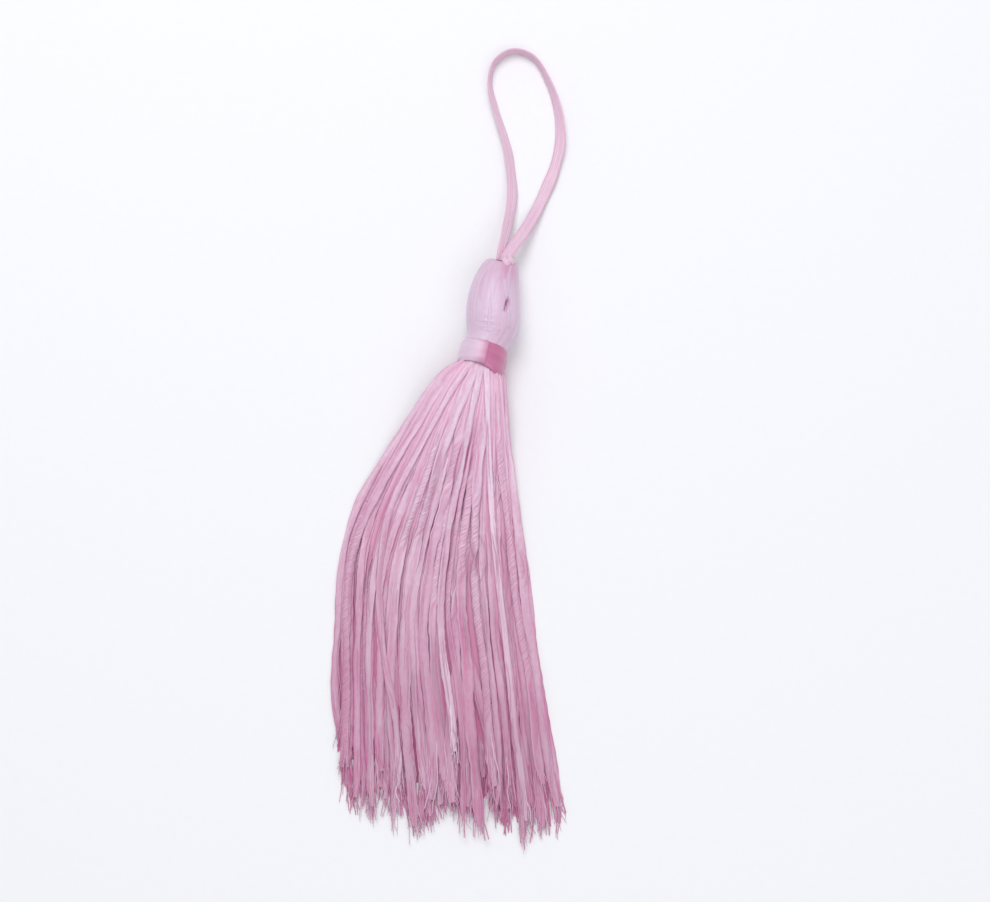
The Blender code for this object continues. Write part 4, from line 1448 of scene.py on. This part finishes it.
def make_head(finish):
    """The head: flat yarns laid lengthwise side by side over a core, each wider than its share
    of the way round so that they lap, and a few loose ones over them."""
    profile = head_profile()
    curve, _, length = profile
    random = np.random.default_rng(SEEDS["head"])
    whole = length[-1]
    free = smooth_step((length - HEAD_FREE["from"]) / HEAD_FREE["over"])
    free = free * smooth_step((whole - HEAD_FREE["before_end"] - length) / HEAD_FREE["over"])
    near_neck = np.exp(-(((length - whole + NECK_FOLDS["before_end"]) / NECK_FOLDS["over"]) ** 2))
    # Painted shade: all the yarns are deeper pink near the mouth.
    shade_round_top = SHADE_BY_MOUTH["all_round"] * np.exp(-((length / SHADE_BY_MOUTH["fade"]) ** 4))
    tubes = []
    for index in range(HEAD_YARNS):
        place = index + random.uniform(-HEAD_PLACES["shuffled"], HEAD_PLACES["shuffled"])
        base = 2.0 * np.pi * place / HEAD_YARNS
        drift = free * soft_noise(random, length, HEAD_PLACES["length"], 3)
        drift = drift * HEAD_PLACES["drift"] * np.pi / HEAD_YARNS
        rough = free * soft_noise(random, length, HEAD_HEIGHTS["length"])
        rough = rough + near_neck * soft_noise(random, length, NECK_FOLDS["length"])
        lift = random.normal(0.0, HEAD_HEIGHTS["spread"]) + HEAD_HEIGHTS["rough"] * rough
        aside = (np.degrees(base) - CRINKLED["angle"]) / CRINKLED["reach"]
        before_end = (length - whole + CRINKLED["before_end"]) / CRINKLED["over"]
        crinkled = np.exp(-(aside**2 + before_end**2))
        lift = lift + CRINKLED["height"] * crinkled * soft_noise(random, length, CRINKLE_LENGTH, 3)
        share = np.pi * curve[:, 1] / HEAD_YARNS
        half_width = share * random.uniform(*HEAD_YARN_HALF_WIDTH["shares"])
        half_width = np.maximum(half_width, HEAD_YARN_HALF_WIDTH["least"])
        rolled = np.radians(random.normal(0.0, HEAD_ROLL["spread"]))
        wave = soft_noise(random, length, HEAD_ROLL["length"])
        roll = rolled + np.radians(HEAD_ROLL["wave"]) * wave
        # Painted shade: deeper pink in the mouth's hollow round the knot.
        aside = (np.degrees(base) - SHADE_BY_MOUTH["angle"]) / SHADE_BY_MOUTH["reach"]
        shade_by_mouth = np.exp(-(aside**2) - (length / SHADE_BY_MOUTH["over"]) ** 4)
        tint = random.uniform(*HEAD_YARN_SHADES) + shade_by_mouth + shade_round_top
        size = (half_width, HEAD_YARN_HALF_THICKNESS)
        tubes.append(head_yarn(profile, base + drift, lift, *size, roll, random, tint))
    for row in LOOSE_HEAD_YARNS:
        share = (length / whole - row["start"]) / (row["end"] - row["start"])
        shown = smooth_step(share / LOOSE_LIE["rises_over"])
        shown = shown * smooth_step((1.0 - share) / LOOSE_LIE["rises_over"])
        turn = (row["end_angle"] - row["start_angle"]) * np.clip(share, 0.0, 1.0)
        angle = np.radians(row["start_angle"] + turn)
        uneven = LOOSE_SIZE["uneven"] * soft_noise(random, length, LOOSE_SIZE["length"])
        lift = row["lift"] * shown + LOOSE_LIE["tucked_in"] * (shown - 1.0)
        roll = np.radians(LOOSE_LIE["roll"]) * soft_noise(random, length, HEAD_ROLL["length"])
        tint = random.uniform(*LOOSE_SHADES) + shade_round_top
        size = (LOOSE_SIZE["half_width"] + uneven, LOOSE_SIZE["half_thickness"])
        tubes.append(head_yarn(profile, angle, lift, *size, roll, random, tint))
    angle = circle(HEAD_CORE["sides"])[None, :]
    radius = np.maximum(curve[:, 1:2] - HEAD_CORE["inside"], HEAD_CORE["least"])
    radius = radius - HEAD_GAP["depth"] * gap_share(curve[:, 0:1], radius, angle)
    along = curve[:, 0:1] - facing_up(curve[:, 0:1]) * radius * np.sin(angle)
    core = held_up(round_axis(along, radius, angle, curve[:, 2:3]), HEAD_CORE["lowest"])
    # The core's deep tint is painted shade where it shows between the yarns.
    tubes.append({"rings": core, "along": length, "tint": HEAD_CORE["tint"]})
    return surface("head_yarns", tubes, finish)


def make_band(finish):
    """The neck ribbon: a thin strip wound once round the neck and lapped over its own start. Its
    radius grows by one thickness where it laps, its face is crowned and drawn in at the edges,
    shallow creases run along it, and its lower edge slants down on the right."""
    low, high = BAND_LAP
    degrees = np.arange(high, low - 360.0 - 0.05 * BAND_STEP, -BAND_STEP)
    turned = high - degrees
    around = np.radians(degrees) * BAND_GIRTH_RADIUS
    over = smooth_step((turned - BAND_STEP_UP["from"]) / BAND_STEP_UP["over"])
    radius = BAND_RADIUS + (BAND_THICKNESS + BAND_STEP_UP["gap"]) * over
    width = BAND_TOP - BAND_BOTTOM
    share = np.linspace(-1.0, 1.0, BAND_POINTS)
    random = np.random.default_rng(SEEDS["ribbon"])
    crease = 0.0
    for _ in range(BAND_CREASES["count"]):
        place = share * random.uniform(*BAND_CREASES["turns"]) + random.uniform()
        uneven = BAND_CREASES["uneven"] * soft_noise(random, around, BAND_CREASES["length"])
        wave = BAND_CREASES["height"] * np.sin(2.0 * np.pi * place)
        crease = crease + wave[None, :] * (1.0 + uneven)[:, None]
    drawn_in = np.where(share < 0.0, BAND_DRAWN_IN["lower"], BAND_DRAWN_IN["upper"])
    crown = BAND_CROWN * (1.0 - share**2) - drawn_in * np.abs(share) ** 5
    crown = crown[None, :] + crease
    half = 0.5 * BAND_THICKNESS * (1.0 - 0.5 * np.abs(share) ** 8)[None, :]
    edge_wave = BAND_EDGE_WAVE["size"] * soft_noise(random, around, BAND_EDGE_WAVE["length"])
    centre = 0.5 * (BAND_TOP + BAND_BOTTOM)
    along = centre + 0.5 * width * share[None, :] + edge_wave[:, None]
    away = np.degrees(np.arccos(np.cos(np.radians(degrees - BAND_SLANT["angle"]))))
    slant = BAND_SLANT["depth"] * np.exp(-((away / BAND_SLANT["reach"]) ** 2))
    lower = slant[:, None] * (0.5 - 0.5 * share[None, :]) ** 2
    along = along - lower
    crown = crown + BAND_SLANT["stands_off"] * lower
    outer = radius[:, None] + crown + half
    inner = radius[:, None] + crown - half
    ring_radius = np.hstack([outer, inner[:, ::-1]])
    ring_along = np.hstack([along, along[:, ::-1]])
    rings = round_axis(ring_along, ring_radius, np.radians(degrees)[:, None])
    # The pale face is a painted satin highlight, fading to deeper pink before the end.
    pale = smooth_step((turned - BAND_PAINTED_HIGHLIGHT["from"]) / BAND_PAINTED_HIGHLIGHT["over"])
    highlight_fade = smooth_step((turned - BAND_HIGHLIGHT_FADE["from"]) / BAND_HIGHLIGHT_FADE["over"])
    tint = 1.0 - pale + BAND_HIGHLIGHT_FADE["tint"] * highlight_fade
    tube = {"rings": rings, "along": np.radians(turned) * BAND_RADIUS, "tint": tint[:, None]}
    return surface("neck_ribbon", [tube], finish)


def make_knot(finish):
    """The knot: one cord on a closed path that winds three times the short way while it goes
    twice the long way, drawn together into a small ball."""
    turn = circle(KNOT_POINTS)
    short_way, long_way = KNOT_PATH["short"] * turn, KNOT_PATH["long"] * turn
    reach = KNOT_PATH["reach"] + KNOT_PATH["swing"] * np.cos(short_way)
    height = KNOT_PATH["height"] * np.sin(short_way)
    path = np.column_stack([reach * np.cos(long_way), height, reach * np.sin(long_way)])
    ahead = unit(np.roll(path, -1, axis=0) - np.roll(path, 1, axis=0))
    out = unit(path)
    side = unit(np.cross(ahead, out))
    up = np.cross(side, ahead)
    angles = np.broadcast_to(circle(KNOT_SIDES), (KNOT_POINTS, KNOT_SIDES))
    half_width, half_thickness = [np.full(KNOT_POINTS, size) for size in KNOT_CORD_HALF_SIZE]
    across, raised = flat_oval(half_width, half_thickness, angles, KNOT_SQUARENESS)
    rings = sweep(path, side, up, across, raised)
    extent = np.abs(rings).reshape(-1, 3).max(axis=0)
    rings = rings / extent * KNOT_HALF_SIZE + np.array(KNOT_CENTRE)
    tube = {"rings": rings, "along": np.arange(KNOT_POINTS) * KNOT_STEP, "tint": 0.0}
    return surface("knot_cord", [tube], finish, closed=True)


# ---------------------------------------------------------------- stage

# The lights, in metres and watts: a key light from the upper left and a fill from the front.
LIGHTS = [
    {
        "name": "key",
        "place": (-0.11, 0.2, 0.42),
        "target": (0.0, -0.01, 0.0),
        "size": 0.3,
        "power": 1.09,
        "colour": (0.97, 0.98, 1.0),
    },
    {
        "name": "fill",
        "place": (0.2, -0.27, 0.47),
        "target": (0.0, -0.02, 0.0),
        "size": 0.5,
        "power": 0.8,
        "colour": (0.97, 0.97, 1.0),
    },
]
SURROUND = {"Color": (0.95, 0.96, 1.0, 1.0), "Strength": 0.56}

# Half the floor's side, in metres.
FLOOR_REACH = 3.0


def area_light(name, place, target, size, power, colour):
    """A round soft light at a place, turned to its target."""
    data = bpy.data.lights.new(name, "AREA")
    data.shape = "DISK"
    data.size = size
    data.energy = power
    data.color = colour
    made = bpy.data.objects.new(name, data)
    bpy.context.scene.collection.objects.link(made)
    back = unit(np.array(place) - np.array(target))
    side = unit(np.cross([0.0, 0.0, 1.0], back))
    turn = Matrix(np.column_stack([side, np.cross(back, side), back]).tolist()).to_4x4()
    made.matrix_world = Matrix.Translation(place) @ turn


def make_stage():
    """A wide pale floor, a soft key light from the upper left, a fill and a pale surround."""
    mesh = bpy.data.meshes.new("floor")
    corners = [(-1, -1, 0), (1, -1, 0), (1, 1, 0), (-1, 1, 0)]
    places = [tuple(FLOOR_REACH * value for value in corner) for corner in corners]
    mesh.from_pydata(places, [], [(0, 1, 2, 3)])
    mesh.materials.append(floor_finish())
    floor = bpy.data.objects.new("floor", mesh)
    bpy.context.scene.collection.objects.link(floor)
    for light in LIGHTS:
        area_light(**light)
    world = bpy.data.worlds.new("surround")
    world.use_nodes = True
    set_values(world.node_tree.nodes["Background"], SURROUND)
    bpy.context.scene.world = world
    bpy.context.scene.view_settings.view_transform = "Standard"


# ---------------------------------------------------------------- assembly

make_camera()
finishes = {kind: floss_finish(**values) for kind, values in FLOSSES.items()}
loop, loop_path = make_loop(finishes["cord"])
knot = make_knot(finishes["cord"])
skirt = make_skirt(finishes["yarn"], finishes["twisted"], finishes["inner"])
head = make_head(finishes["head"])
band = make_band(ribbon_finish())
make_stage()

for piece in [loop, knot, head, band, *skirt]:
    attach(piece, "root")
for piece in [head, *skirt]:
    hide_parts("yarn")
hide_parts("neck_band")
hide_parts("loop_knot")
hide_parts("hanging_loop")
